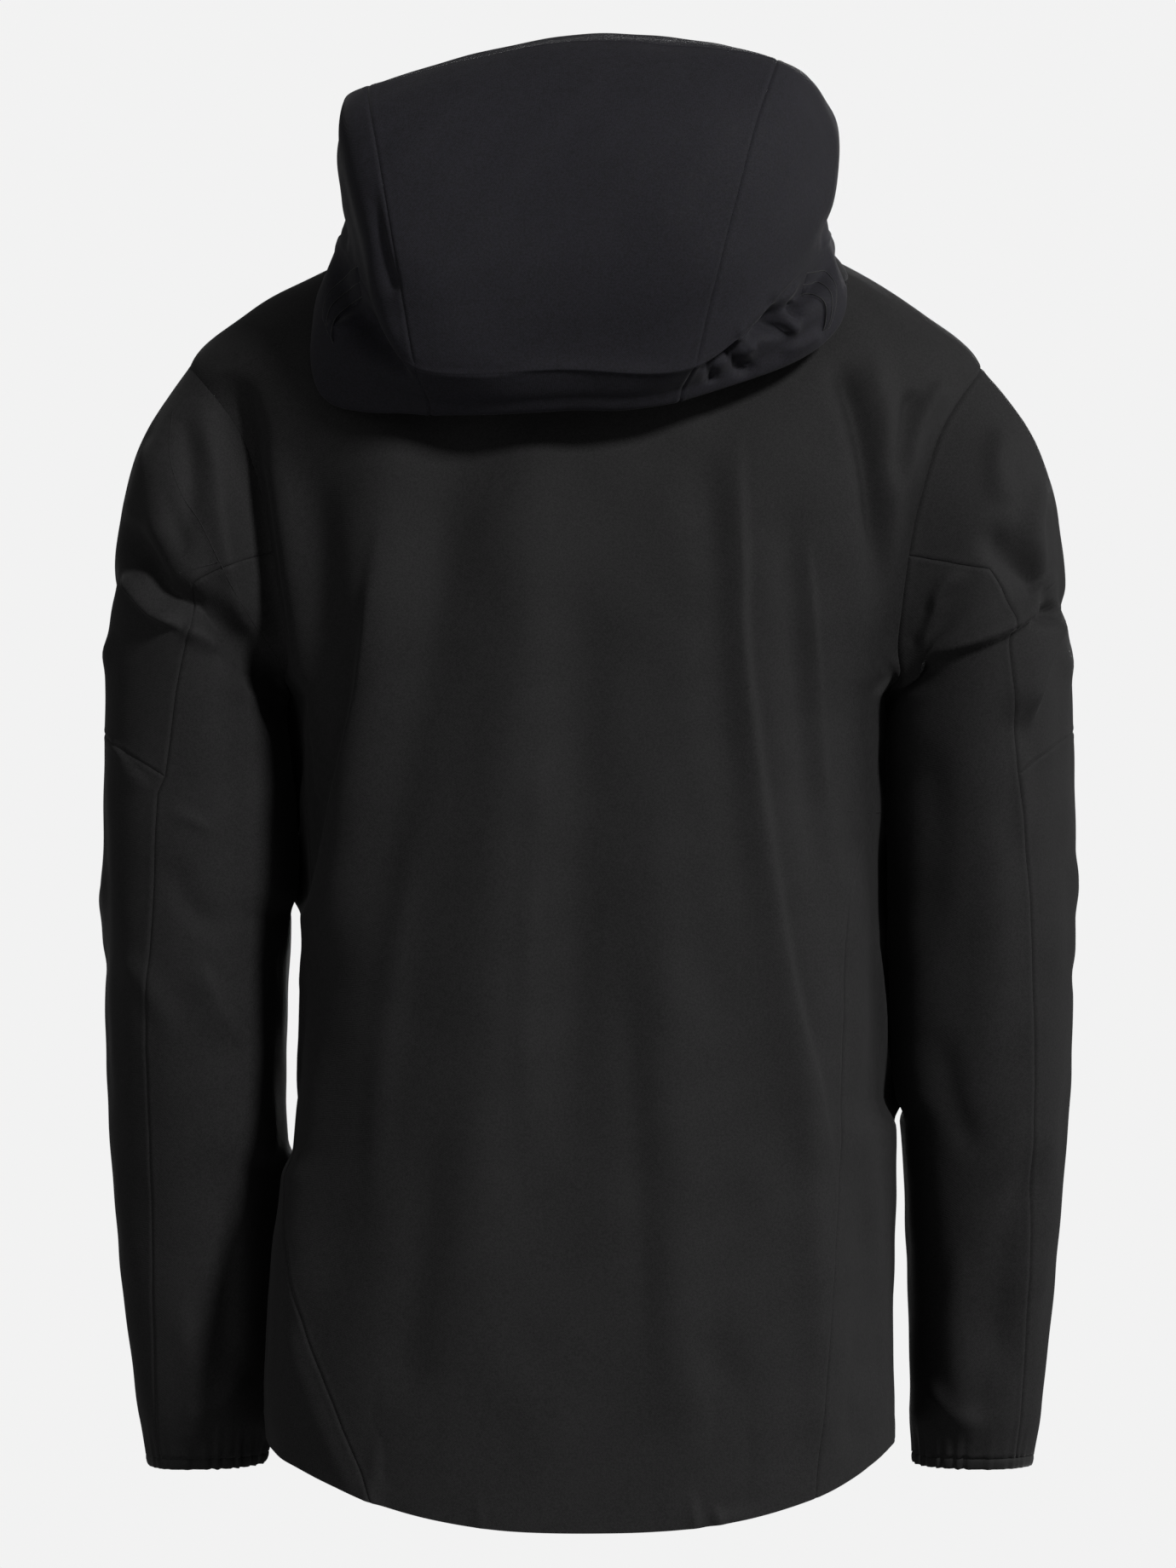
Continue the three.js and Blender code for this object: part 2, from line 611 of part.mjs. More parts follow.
add('hood_centre_panel', sheet(hoodPoint, -1, [...HOOD_ROWS, BRIM_FROM - 0.02], 10, (w, share) => [
  lerp(-HOOD_SEAM + HOOD_GAP, HOOD_SEAM - HOOD_GAP, share),
  w,
]), shell);
add('hood_brim', sheet(hoodPoint, -1, spread(BRIM_FROM, HOOD_TOP, 3), 10, (w, share) => [
  lerp(-HOOD_SEAM + HOOD_GAP, HOOD_SEAM - HOOD_GAP, share),
  w,
], 0, 3), shell);
addPair('hood_side', sheet(hoodPoint, -1, [...HOOD_ROWS, 7.2, HOOD_TOP], 14, (w, share) => [
  lerp(HOOD_SEAM + HOOD_GAP, HOOD.length - 1, share),
  w,
]), shell);

// Drawcord tunnel inside the edge of the face opening, one on each side of the brim.
addPair('hood_edge_tunnel', sheet(hoodPoint, -1, [7.25, 7.6, 7.92], 12, (w, share) => [
  lerp(HOOD_SEAM + 0.08, 3.6, share),
  w,
], FABRIC + 1.2, FABRIC + 2.4), trim);

// ---------------------------------------------------------------- front zip

const BOX_TALL = 16;
for (const [side, sign] of [['left', 1], ['right', -1]]) {
  const tape = tapeHalf(frontZip.length - BOX_TALL).translate(0, 0, BOX_TALL / 2);
  tape.applyMatrix4(frontZip.matrix);
  add('front_zip_tape_' + side, tape, zipTape).scale.x = sign;
}
const zipFoot = -frontZip.length / 2;
add('front_zip_box', box(-4.5, 4.5, -1.6, 2.6, zipFoot, zipFoot + BOX_TALL - 0.6)
  .applyMatrix4(frontZip.matrix), plastic);
addSlider('front_zip', frontZip, frontZip.length / 2 - 9); // zipped right up

// The flap and the chin guard lie behind the zip, from depth y0 to y1 inside it.
const zipTop = frontZip.length / 2;
const FLAP = { half: 19, y0: 5.4, y1: 6.6, bottom: 4 - zipTop, top: zipTop - 24 };
const GUARD = { half: 17, y0: 5.2, y1: 7.2, bottom: FLAP.top + 0.6, top: zipTop + 1 };
for (const [name, { half, y0, y1, bottom, top }] of [['storm_flap', FLAP], ['chin_guard', GUARD]]) {
  add(name, box(-half, half, y0, y1, bottom, top).applyMatrix4(frontZip.matrix), lining);
}

// ---------------------------------------------------------------- pocket zips and bags

add('hand_pocket_zip_left', pocketZip(handZip.length).applyMatrix4(handZip.matrix), zipTape);
add('hand_pocket_zip_right', pocketZip(handZip.length).applyMatrix4(handZip.matrix), zipTape).scale.x = -1;
add('chest_pocket_zip', pocketZip(chestZip.length).applyMatrix4(chestZip.matrix), zipTape);
const CLOSED = 14; // from a closed pocket slider's middle to the top of its zip
addSlider('hand_pocket_left', handZip, handZip.length / 2 - CLOSED);
addSlider('hand_pocket_right', handZip, handZip.length / 2 - CLOSED, true);
addSlider('chest_pocket', chestZip, chestZip.length / 2 - CLOSED);

// A flat pouch hanging behind the front panel, at these depths inside its surface.
const BAG = { outside: 9, inside: 10.6 };
function pocketBag(kFrom, kTo, xFrom, xTo) {
  return sheet(torsoPoint, 1, spread(kFrom, kTo, 4), 4, (k, share) => [
    zipEdgeTheta(k, lerp(xFrom, xTo, share)),
    k,
  ], BAG.outside, BAG.inside);
}
addPair('hand_pocket_bag', pocketBag(0.55, 2.95, 34, 150), lining);
add('chest_pocket_bag', pocketBag(4.2, 7.2, 32, 108), lining);

// ---------------------------------------------------------------- hem: facing, drawcord and cord locks

const HEM_ROWS = [0.04, 0.12, 0.24, 0.32];
const HEM_DEPTH = [3.2, 6.6, 6.6, 3.2];

function hemFacing() {
  const columns = spread(HEM_LOCK_ANGLE + 6 * DEG, Math.PI - HEM_LOCK_ANGLE - 6 * DEG, 36);
  const layer = (extra) => HEM_ROWS.map((k, i) => columns.map((theta) =>
    torsoPoint(theta, k).addScaledVector(normalOf(torsoPoint, theta, k, 1), -HEM_DEPTH[i] - extra)));
  return gridSolid(layer(0), layer(1));
}
add('hem_facing', hemFacing(), trim);

const CORD_K = 0.18;
const hemPath = spread(HEM_LOCK_ANGLE + 3 * DEG, Math.PI - HEM_LOCK_ANGLE - 3 * DEG, 40).map((theta) =>
  torsoPoint(theta, CORD_K).addScaledVector(normalOf(torsoPoint, theta, CORD_K, 1), -4.6));
add('hem_drawcord', tube(hemPath, CORD_R, 44, 6), cordMaterial);

// A cord lock in a frame whose local -y is out of the fabric: barrel with a bore, and its sprung button.
const LOCK = { half: 6, deep: 9, tall: 15, bore: 3.3, button: 3, proud: 4.5 };

function lockBarrel() {
  const { half, deep, tall, bore } = LOCK;
  const body = prism([[-half, 0], [-half + 2, -deep / 2], [half - 2, -deep / 2], [half, 0],
    [half - 2, deep / 2], [-half + 2, deep / 2]], -tall / 2, tall / 2);
  const hole = new THREE.CylinderGeometry(bore, bore, tall, 16).rotateX(Math.PI / 2).translate(0, 0, 4);
  return cut(body, hole);
}

function lockButton() {
  const { button, tall, proud } = LOCK;
  const length = tall / 2 + proud;
  return new THREE.CylinderGeometry(button, button, length, 16)
    .rotateX(Math.PI / 2)
    .translate(0, 0, tall / 2 + proud - length / 2);
}

// The frame of a lock laid inside a surface point, local z along the given direction.
function lockFrame(point, outward, along3, clearance) {
  const up = along3.clone().normalize();
  const inward = outward.clone().negate().addScaledVector(up, outward.dot(up)).normalize();
  const across = new THREE.Vector3().crossVectors(inward, up);
  const centre = point.clone().addScaledVector(inward, FABRIC + LOCK.deep / 2 + clearance);
  return new THREE.Matrix4().makeBasis(across, inward, up).setPosition(centre);
}

function addLocks(name, matrix) {
  addPair(name, lockBarrel().applyMatrix4(matrix), plastic);
  addPair(name + '_button', lockButton().applyMatrix4(matrix), plastic);
}
const HEM_LOCK = { theta: HEM_LOCK_ANGLE - 2 * DEG, k: 0.26, clearance: 1 };
const hemLockMatrix = lockFrame(
  torsoPoint(HEM_LOCK.theta, HEM_LOCK.k),
  normalOf(torsoPoint, HEM_LOCK.theta, HEM_LOCK.k, 1),
  new THREE.Vector3(0, 0, 1),
  HEM_LOCK.clearance,
);
addLocks('hem_cord_lock', hemLockMatrix);

const HOOD_LOCK = { u: 3.95, w: 6, clearance: 3.2 };
const hoodLockMatrix = lockFrame(
  hoodPoint(HOOD_LOCK.u, HOOD_LOCK.w),
  normalOf(hoodPoint, HOOD_LOCK.u, HOOD_LOCK.w, -1),
  hoodPoint(HOOD_LOCK.u, HOOD_LOCK.w + 0.6).sub(hoodPoint(HOOD_LOCK.u, HOOD_LOCK.w - 0.6)),
  HOOD_LOCK.clearance,
);
addLocks('hood_cord_lock', hoodLockMatrix);

// ---------------------------------------------------------------- neck: hanger loop and facing

add('neck_facing', sheet(torsoPoint, 1, [10.2, 10.5, 10.8, 10.97], 8, (k, share) => [
  lerp(55 * DEG, 125 * DEG, share),
  k,
], FABRIC + 1, FABRIC + 2), lining);

const { half: loopHalf, top: loopTop, foot: loopFoot } = LOOP;
const loopPath = [[-1, loopFoot], [-0.97, 0.3 * loopTop], [-0.6, 0.95 * loopTop], [0, loopTop],
  [0.6, 0.95 * loopTop], [0.97, 0.3 * loopTop], [1, loopFoot]].map(
  ([share, z]) => new THREE.Vector3(share * loopHalf, LOOP.y, z));
add('hanger_loop', tube(loopPath, LOOP.radius, 20, 8), trim);

// Waterproof tape over the inside of the two back side seams.
addPair('seam_tape', sheet(torsoPoint, 1, [0.4, 1, 1.6, 2.2, 2.8, 3.3], 2, (k, share) => [
  panelEdge(k) + lerp(-3, 3, share) * DEG,
  k,
], FABRIC + 1, FABRIC + 1.8), trim);

export default jacket;
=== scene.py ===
"""A hooded hardshell jacket, zipped up with its hood down, in the shape it has on a wearer.

Lengths are in millimetres until a mesh is made, in the body's own frame: its z axis runs up the middle of the
body, the wearer faces -y, the wearer's left is +x, and z is 0 at the back neck seam, as in the CAD part.
"""

import math

import bpy
import numpy as np
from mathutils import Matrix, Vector, bvhtree, kdtree


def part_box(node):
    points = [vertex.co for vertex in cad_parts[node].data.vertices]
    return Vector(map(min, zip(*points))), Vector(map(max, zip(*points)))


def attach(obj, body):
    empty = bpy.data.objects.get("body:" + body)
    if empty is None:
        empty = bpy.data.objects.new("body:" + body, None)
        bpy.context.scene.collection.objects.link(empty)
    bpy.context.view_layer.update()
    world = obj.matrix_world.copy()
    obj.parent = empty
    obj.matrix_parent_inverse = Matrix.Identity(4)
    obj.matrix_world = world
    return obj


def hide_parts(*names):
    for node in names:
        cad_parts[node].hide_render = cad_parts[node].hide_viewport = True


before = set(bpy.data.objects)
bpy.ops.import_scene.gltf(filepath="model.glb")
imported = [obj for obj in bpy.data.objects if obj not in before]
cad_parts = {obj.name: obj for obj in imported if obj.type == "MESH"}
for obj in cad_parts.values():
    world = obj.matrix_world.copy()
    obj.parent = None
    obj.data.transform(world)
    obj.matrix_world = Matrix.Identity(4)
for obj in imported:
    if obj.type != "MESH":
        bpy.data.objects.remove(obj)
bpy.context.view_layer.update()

MM = 0.001
DEG = math.pi / 180

# ---------------------------------------------------------------- driving dimensions

BACK_DEPTH = 150  # from the body's axis to the furthest point of the back
BODY_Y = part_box("back_panel")[1].y / MM - BACK_DEPTH  # the body's axis, seen from the hanger loop
STEP = 2.7  # size of the mesh's squares
CLOTH = 0.9  # thickness of the laminate, drawn a little thicker than it is
FRONT_Y, FRONT_LEAN = 88, 0.085  # the straight line of the front zip

# Torso rings from hem to neck: half width, back depth, height at side, back and front, squareness.
TORSO = [
    (187, 150, -727, -767, -714, 2.5),
    (186, 150, -650, -668, -640, 2.5),
    (181, 147, -540, -545, -535, 2.5),
    (178, 143, -420, -420, -420, 2.5),
    (180, 139, -335, -335, -338, 2.5),
    (187, 135, -275, -272, -282, 2.5),
    (214, 128, -198, -195, -215, 2.4),
    (237, 113, -122, -122, -155, 2.3),
    (242, 94, -74, -74, -112, 2.2),
    (206, 78, -42, -38, -84, 2.1),
    (150, 69, -11, -14, -64, 2.0),
    (82, 62, 14, 0, -48, 2.0),
]
UNDERARM, SHOULDER, NECK = 5, 8, 11
ARMHOLE_SPREAD = 31 * DEG
SIDE = {1: "left", -1: "right"}  # the wearer's sides; tables that differ between them have the same keys
# Side seam behind the body: rings, then degrees round from the side. On the left it has swung forwards.
SIDE_SEAM = {
    1: ([0, 0.6, 1, 1.6, 2, 3, 4, 4.6, 5], [52, 42, 33, 21.5, 15, 10, 8, 4.5, 0]),
    -1: ([0, 1, 2, 3, 3.25, 3.5, 3.8, 4.1, 4.6, 5], [49, 46, 41, 38, 36, 30, 16, 10, 5, 0]),
}
FRONT_SEAM = ([0, 1, 2, 3, 4, 4.6, 5], [49, 46, 41, 34, 14, 5, 0])
SHOULDER_SEAM = -20 * DEG
HEM_LOCK_ANGLE = -52 * DEG  # where the hem's cord locks sit
ZIP_EDGE = 9.1  # where the front panels end beside the zip

# How far the cloth hangs from the axis at the body's two sides: heights, then half widths.
HANG = {
    1: (
        [-767, -735, -710, -662, -600, -547, -485, -454, -423, -335, -275],
        [188, 189, 192, 190, 185, 179, 174.5, 174, 175, 181, 187],
    ),
    -1: (
        [-767, -735, -703, -641, -579, -548, -480, -420, -335, -275],
        [187, 186, 186, 186, 188, 188.5, 187.5, 186, 184, 187],
    ),
}
HANG_TOP, HANG_FADE = -275, 25  # above HANG_TOP the body's sides are held, and it fades out below that

# Sleeve rings from armhole to wrist: outer (x, z), inner (x, z), centre y, half depth.
SLEEVE = [
    (266, -108, 190.5, -282, -1, 80),
    (282, -150, 193, -296, -3, 83),
    (290, -204, 192.5, -322, -5, 82),
    (296, -297, 190.5, -372, -8, 78),
    (297.5, -390, 190, -432, -12, 74),
    (295.5, -482, 191, -502, -18, 69),
    (290.5, -574, 194, -582, -29, 63),
    (283.5, -662, 197, -664, -43, 56),
    (275, -749, 200, -748, -58, 48),
]
WRIST = len(SLEEVE)
ELBOW = 4
# Sleeve seams: rings, then degrees round from the outer side, by way of the back.
BACK_SLEEVE_SEAM = {
    1: (
        [0, 0.5, 1.1, 1.7, 2.05, 2.4, 3.3, 4, 4.15, 5, 6, 7, 9],
        [106, 101, 94, 87, 88, 89, 81, 76, 72, 71, 65, 61, 51],
    ),
    -1: (
        [0, 0.4, 0.8, 1.2, 1.6, 2.2, 2.7, 3, 4, 5, 7, 9],
        [107, 102, 96, 89, 82, 76, 73, 75, 73.5, 67, 60, 49],
    ),
}
FRONT_SLEEVE_SEAM = ([0, 2, 9], [215, 232, 250])
SLEEVE_SQUARE = [2.0, 2.0, 2.0, 2.1, 2.2, 2.3, 2.3, 2.3, 2.3]  # squareness of each ring
# Where each sleeve's inner side hangs: heights, then distances from the axis.
INNER = {
    1: (
        [-748, -700, -662, -600, -547, -516, -485, -454, -423, -380, -330, -282],
        [200, 194, 190, 184, 182, 184.5, 186, 185, 182, 180, 184, 190],
    ),
    -1: (
        [-748, -700, -641, -579, -548, -520, -480, -420, -335, -282],
        [199.5, 199, 198, 196.5, 194, 190.5, 189, 188, 187.5, 190.5],
    ),
}

# Hood profiles from the neck seam under, out and up to the face opening. The hood has slipped a little
# towards the wearer's left, so its two sides differ.
HOOD_BACK = [
    (0, 67, 3), (4, 102, -50), (14, 135, -107), (15, 150, -103), (15, 163, -88),
    (10, 172, -20), (4, 150, 58), (1, 104, 106), (-1, 52, 122),
]
HOOD_LEFT = [
    [
        (44, 58, 7), (64, 92, -42), (90, 124, -109), (94, 139, -104), (101, 156, -86),
        (113, 161, -20), (125, 135, 50), (131, 92, 84), (129, 46, 93),
    ],
    [
        (79, 29, 15), (108, 62, -18), (154, 88, -95), (156, 100, -72), (131, 121, -38),
        (142, 106, 14), (148, 87, 51), (145, 61, 71), (140, 38, 76),
    ],
    [
        (87, -7, 17), (118, 6, 12), (150, 26, -22), (158, 40, -28), (149, 36, 2),
        (145, 34, 18), (145, 34, 32), (144, 30, 44), (141, 24, 54),
    ],
    [
        (65, -66, -10), (82, -70, -6), (102, -68, -2), (111, -66, 4), (112, -63, 9),
        (112, -61, 14), (112, -58, 21), (110, -54, 28), (107, -49, 36),
    ],
    [
        (21, -94, -41), (27, -97, -38), (33, -98, -34), (36, -98, -30), (37, -97, -27),
        (37, -96, -23), (37, -95, -19), (36, -94, -14), (34, -92, -8),
    ],
]
HOOD_RIGHT = [
    [
        (-44, 58, 7), (-52, 92, -42), (-53, 129, -101), (-56, 143, -97), (-63, 158, -86),
        (-79, 166, -18), (-98, 147, 55), (-111, 102, 96), (-113, 49, 106),
    ],
    [
        (-79, 29, 15), (-102, 60, -18), (-139, 92, -64), (-143, 102, -50), (-119, 126, -36),
        (-139, 106, 14), (-145, 88, 53), (-145, 62, 75), (-140, 38, 81),
    ],
    [
        (-87, -7, 17), (-116, 4, 12), (-146, 22, -8), (-151, 34, -18), (-147, 32, 4),
        (-144, 34, 20), (-145, 34, 36), (-145, 30, 51), (-142, 22, 62),
    ],
    [(-x, y, z) for x, y, z in HOOD_LEFT[3]],
    [(-x, y, z) for x, y, z in HOOD_LEFT[4]],
]
HOOD_CREASE = 4  # the point of each profile that lies on the hood's crease
CREASE_ENDS = (2.0, 2.9)  # the profiles between which the crease dies out towards the front
HOOD_TOP = 8  # the last point of each profile, at the face opening
BRIM_FROM = 7.25

COLLAR_BASE = (82, 62, 14, 0, -48, 2.0)
COLLAR_TOP = (79, 66, 60, 62, 56, 2.0)

# ---------------------------------------------------------------- curves and surfaces


def between(p0, p1, p2, p3, t):
    """The Catmull-Rom curve from p1 to p2, at share t of the way."""
    m1, m2 = (p2 - p0) / 2, (p3 - p1) / 2
    t2, t3 = t * t, t * t * t
    return (2 * t3 - 3 * t2 + 1) * p1 + (t3 - 2 * t2 + t) * m1 + (3 * t2 - 2 * t3) * p2 + (t3 - t2) * m2


def along(values, k):
    """A Catmull-Rom curve through the rows of values, at fractional rows k."""
    values = np.asarray(values, float)
    rows = np.concatenate([2 * values[:1] - values[1:2], values, 2 * values[-1:] - values[-2:-1]])
    k = np.asarray(k, float)
    i = np.clip(np.floor(k).astype(int), 0, len(values) - 2)
    t = (k - i).reshape(k.shape + (1,) * (values.ndim - 1))
    return between(*(rows[i + n] for n in range(4)), t)


def smoothstep(low, high, x):
    t = np.clip((x - low) / (high - low), 0, 1)
    return t * t * (3 - 2 * t)


def ring_point(ring, theta):
    """A point on a ring; theta is 0 at the wearer's left and 90 degrees at the back."""
    a, b, side, back, front, n = (ring[..., i] for i in range(6))
    c, s = np.cos(theta), np.sin(theta)
    behind = s > 0
    depth = np.where(behind, b, FRONT_Y - FRONT_LEAN * front)
    x = a * np.sign(c) * np.abs(c) ** (2 / n)
    y = depth * np.sign(s) * np.abs(s) ** (2 / n)
    z = side * c * c + np.where(behind, back, front) * s * s
    return np.stack([x, y, z], -1)


def torso(theta, k):
    theta, k = np.broadcast_arrays(theta, k)
    ring = along(TORSO, k)
    point = ring_point(ring, theta)
    side = np.cos(theta) ** 2
    for sign, hang in HANG.items():
        wanted = np.interp(point[..., 2], *hang) - np.interp(point[..., 2], CAD_HEIGHTS, CAD_WIDTHS)
        low = 1 - smoothstep(HANG_TOP - HANG_FADE, HANG_TOP, point[..., 2])
        point[..., 0] += np.where(np.sign(np.cos(theta)) == sign, sign * wanted * side * low, 0)
    return point


CAD_HEIGHTS = [ring[2] for ring in TORSO[: UNDERARM + 1]]
CAD_WIDTHS = [ring[0] for ring in TORSO[: UNDERARM + 1]]


def armhole(phi):
    """The armhole as a loop: phi is 0 at the shoulder tip, 90 degrees at the back, 180 at the underarm."""
    middle, half = (UNDERARM + SHOULDER) / 2, (SHOULDER - UNDERARM) / 2
    return torso(ARMHOLE_SPREAD * np.sin(phi), middle + half * np.cos(phi))


def armhole_angle(k):
    across = 2 * (k - UNDERARM) / (SHOULDER - UNDERARM) - 1
    return ARMHOLE_SPREAD * np.sqrt(np.maximum(0, 1 - across**2))


def panel_edge(k, seam):
    """Angle round the body of a side seam, the armhole or the shoulder seam."""
    low = np.interp(k, *seam) * DEG
    high = SHOULDER_SEAM * smoothstep(SHOULDER, NECK, k)
    return np.where(k < UNDERARM, low, np.where(k < SHOULDER, armhole_angle(k), high))


def front_angle(k, x):
    """Angle of the point of the front at half width x."""
    ring = along(TORSO, k)
    return -np.pi / 2 + np.arcsin(np.clip(x / ring[..., 0], 0, 1) ** (ring[..., 5] / 2))


def sleeve(side):
    """The surface of one sleeve; side is 1 for the wearer's left and -1 for the right."""

    def surface(phi, v):
        phi, v = np.broadcast_arrays(phi, v)
        rings = np.asarray(SLEEVE, float)
        c, s = np.cos(phi)[..., None], np.sin(phi)[..., None]
        c, s = (np.sign(t) * np.abs(t) ** (2 / np.array(SLEEVE_SQUARE)) for t in (c, s))
        xo, zo, xi, zi, y, ry = (rings[:, i] for i in range(6))
        xi = np.interp(zi, *INNER[side])
        x = (xo + xi) / 2 + c * (xo - xi) / 2
        z = (zo + zi) / 2 + c * (zo - zi) / 2
        stations = np.stack([x, y + s * ry, z], -1)
        stations = np.concatenate([armhole(phi)[..., None, :], stations], -2)
        point = along_last(stations, v)
        point[..., 0] *= side
        return point

    return surface


def along_last(stations, v):
    """Catmull-Rom through stations[..., i, :] at fractional i = v, a different curve at each place."""
    first = 2 * stations[..., :1, :] - stations[..., 1:2, :]
    last = 2 * stations[..., -1:, :] - stations[..., -2:-1, :]
    rows = np.concatenate([first, stations, last], -2)
    i = np.clip(np.floor(v).astype(int), 0, stations.shape[-2] - 2)
    t = (v - i)[..., None]
    near = (np.take_along_axis(rows, (i + n)[..., None, None], -2)[..., 0, :] for n in range(4))
    return between(*near, t)


HOOD_STATIONS = np.array(HOOD_RIGHT[::-1] + [HOOD_BACK] + HOOD_LEFT, float)


def hood(u, w):
    """u is 0 at the back, 1 at the panel seams and 5 at the front; w runs from the neck seam to the edge."""
    u, w = np.broadcast_arrays(u, w)
    profile = along(HOOD_STATIONS, u + 5)
    smooth = along_last(profile, w)
    under = along_last(profile[..., : HOOD_CREASE + 1, :], np.minimum(w, HOOD_CREASE))
    over = along_last(profile[..., HOOD_CREASE:, :], np.maximum(w - HOOD_CREASE, 0))
    creased = np.where((w < HOOD_CREASE)[..., None], under, over)
    share = (1 - smoothstep(*CREASE_ENDS, np.abs(u)))[..., None]
    return smooth + (creased - smooth) * share


def collar(theta, h):
    theta, h = np.broadcast_arrays(theta, h)
    base, top = np.array(COLLAR_BASE, float), np.array(COLLAR_TOP, float)
    return ring_point(base + (top - base) * h[..., None], theta)


def normals_of(surface, p, q, turn, step=1e-3):
    """Outward unit normals; turn is 1 where p then q run anticlockwise seen from outside."""
    across = surface(p + step, q) - surface(p - step, q)
    up = surface(p, q + step) - surface(p, q - step)
    normal = np.cross(across, up) * turn
    return normal / np.maximum(np.linalg.norm(normal, axis=-1, keepdims=True), 1e-12)


# ---------------------------------------------------------------- folds in the cloth

TINY = 1e-6
# Each view: which coordinate runs across it, which up, which into it, and the sign of the side seen.
VIEWS = {"back": (0, 2, 1, 1), "front": (0, 2, 1, -1), "left": (1, 2, 0, 1), "right": (1, 2, 0, -1)}


def smooth_path(points, per_span=8):
    points = np.asarray(points, float)
    return along(points, np.linspace(0, len(points) - 1, (len(points) - 1) * per_span + 1))


def fold(points, normals, view, path, height, width, start=0.3, stop=0.3, kind="ridge"):
    """Height that one fold adds. Its path is seen from the given side; its ends die out over the shares start
    and stop of it. A ridge rises and falls evenly; an edge falls away slowly on the left of its path and
    sharply on the right."""
    across, up, depth, sign = VIEWS[view]
    line = smooth_path(path)
    reach = 5 * width
    flat = np.stack([points[..., across], points[..., up]], -1).reshape(-1, 2)
    facing = smoothstep(0.02, 0.4, normals[..., depth].reshape(-1) * sign)
    near = (flat > line.min(0) - reach).all(1) & (flat < line.max(0) + reach).all(1) & (facing > 0)
    result = np.zeros(len(flat))
    if near.any():
        p = flat[near]
        a, b = line[:-1], line[1:]
        d = b - a
        t = np.clip(((p[:, None] - a) * d).sum(-1) / (d * d).sum(-1), 0, 1)
        offset = p[:, None] - (a + t[..., None] * d)
        distance = np.linalg.norm(offset, axis=-1)
        best = distance.argmin(1)
        pick = np.arange(len(p))
        side = np.sign(d[best, 0] * offset[pick, best, 1] - d[best, 1] * offset[pick, best, 0])
        place = (best + t[pick, best]) / len(a)
        gap = distance[pick, best]
        spread = width if kind == "ridge" else np.where(side > 0, 1.9 * width, 0.4 * width)
        taper = smoothstep(0, max(start, TINY), place) * smoothstep(0, max(stop, TINY), 1 - place)
        result[near] = height * np.exp(-((gap / spread) ** 2)) * taper * facing[near]
    return result.reshape(points.shape[:-1])


def waves(points, seed, length, height, stretch=(1, 1, 1)):
    """Gentle random undulation with about the given wavelength."""
    rng = np.random.default_rng(seed)
    warped = points + 0.12 * length * np.sin(points[..., [2, 0, 1]] * (2.3 / length) + seed)
    total = 0
    for _ in range(8):
        direction = rng.normal(size=3) * stretch
        direction /= np.linalg.norm(direction)
        rate = 2 * np.pi / length * rng.uniform(0.6, 1.5)
        total = total + np.sin(warped @ direction * rate + rng.uniform(0, 2 * np.pi))
    return height * total / 2.8


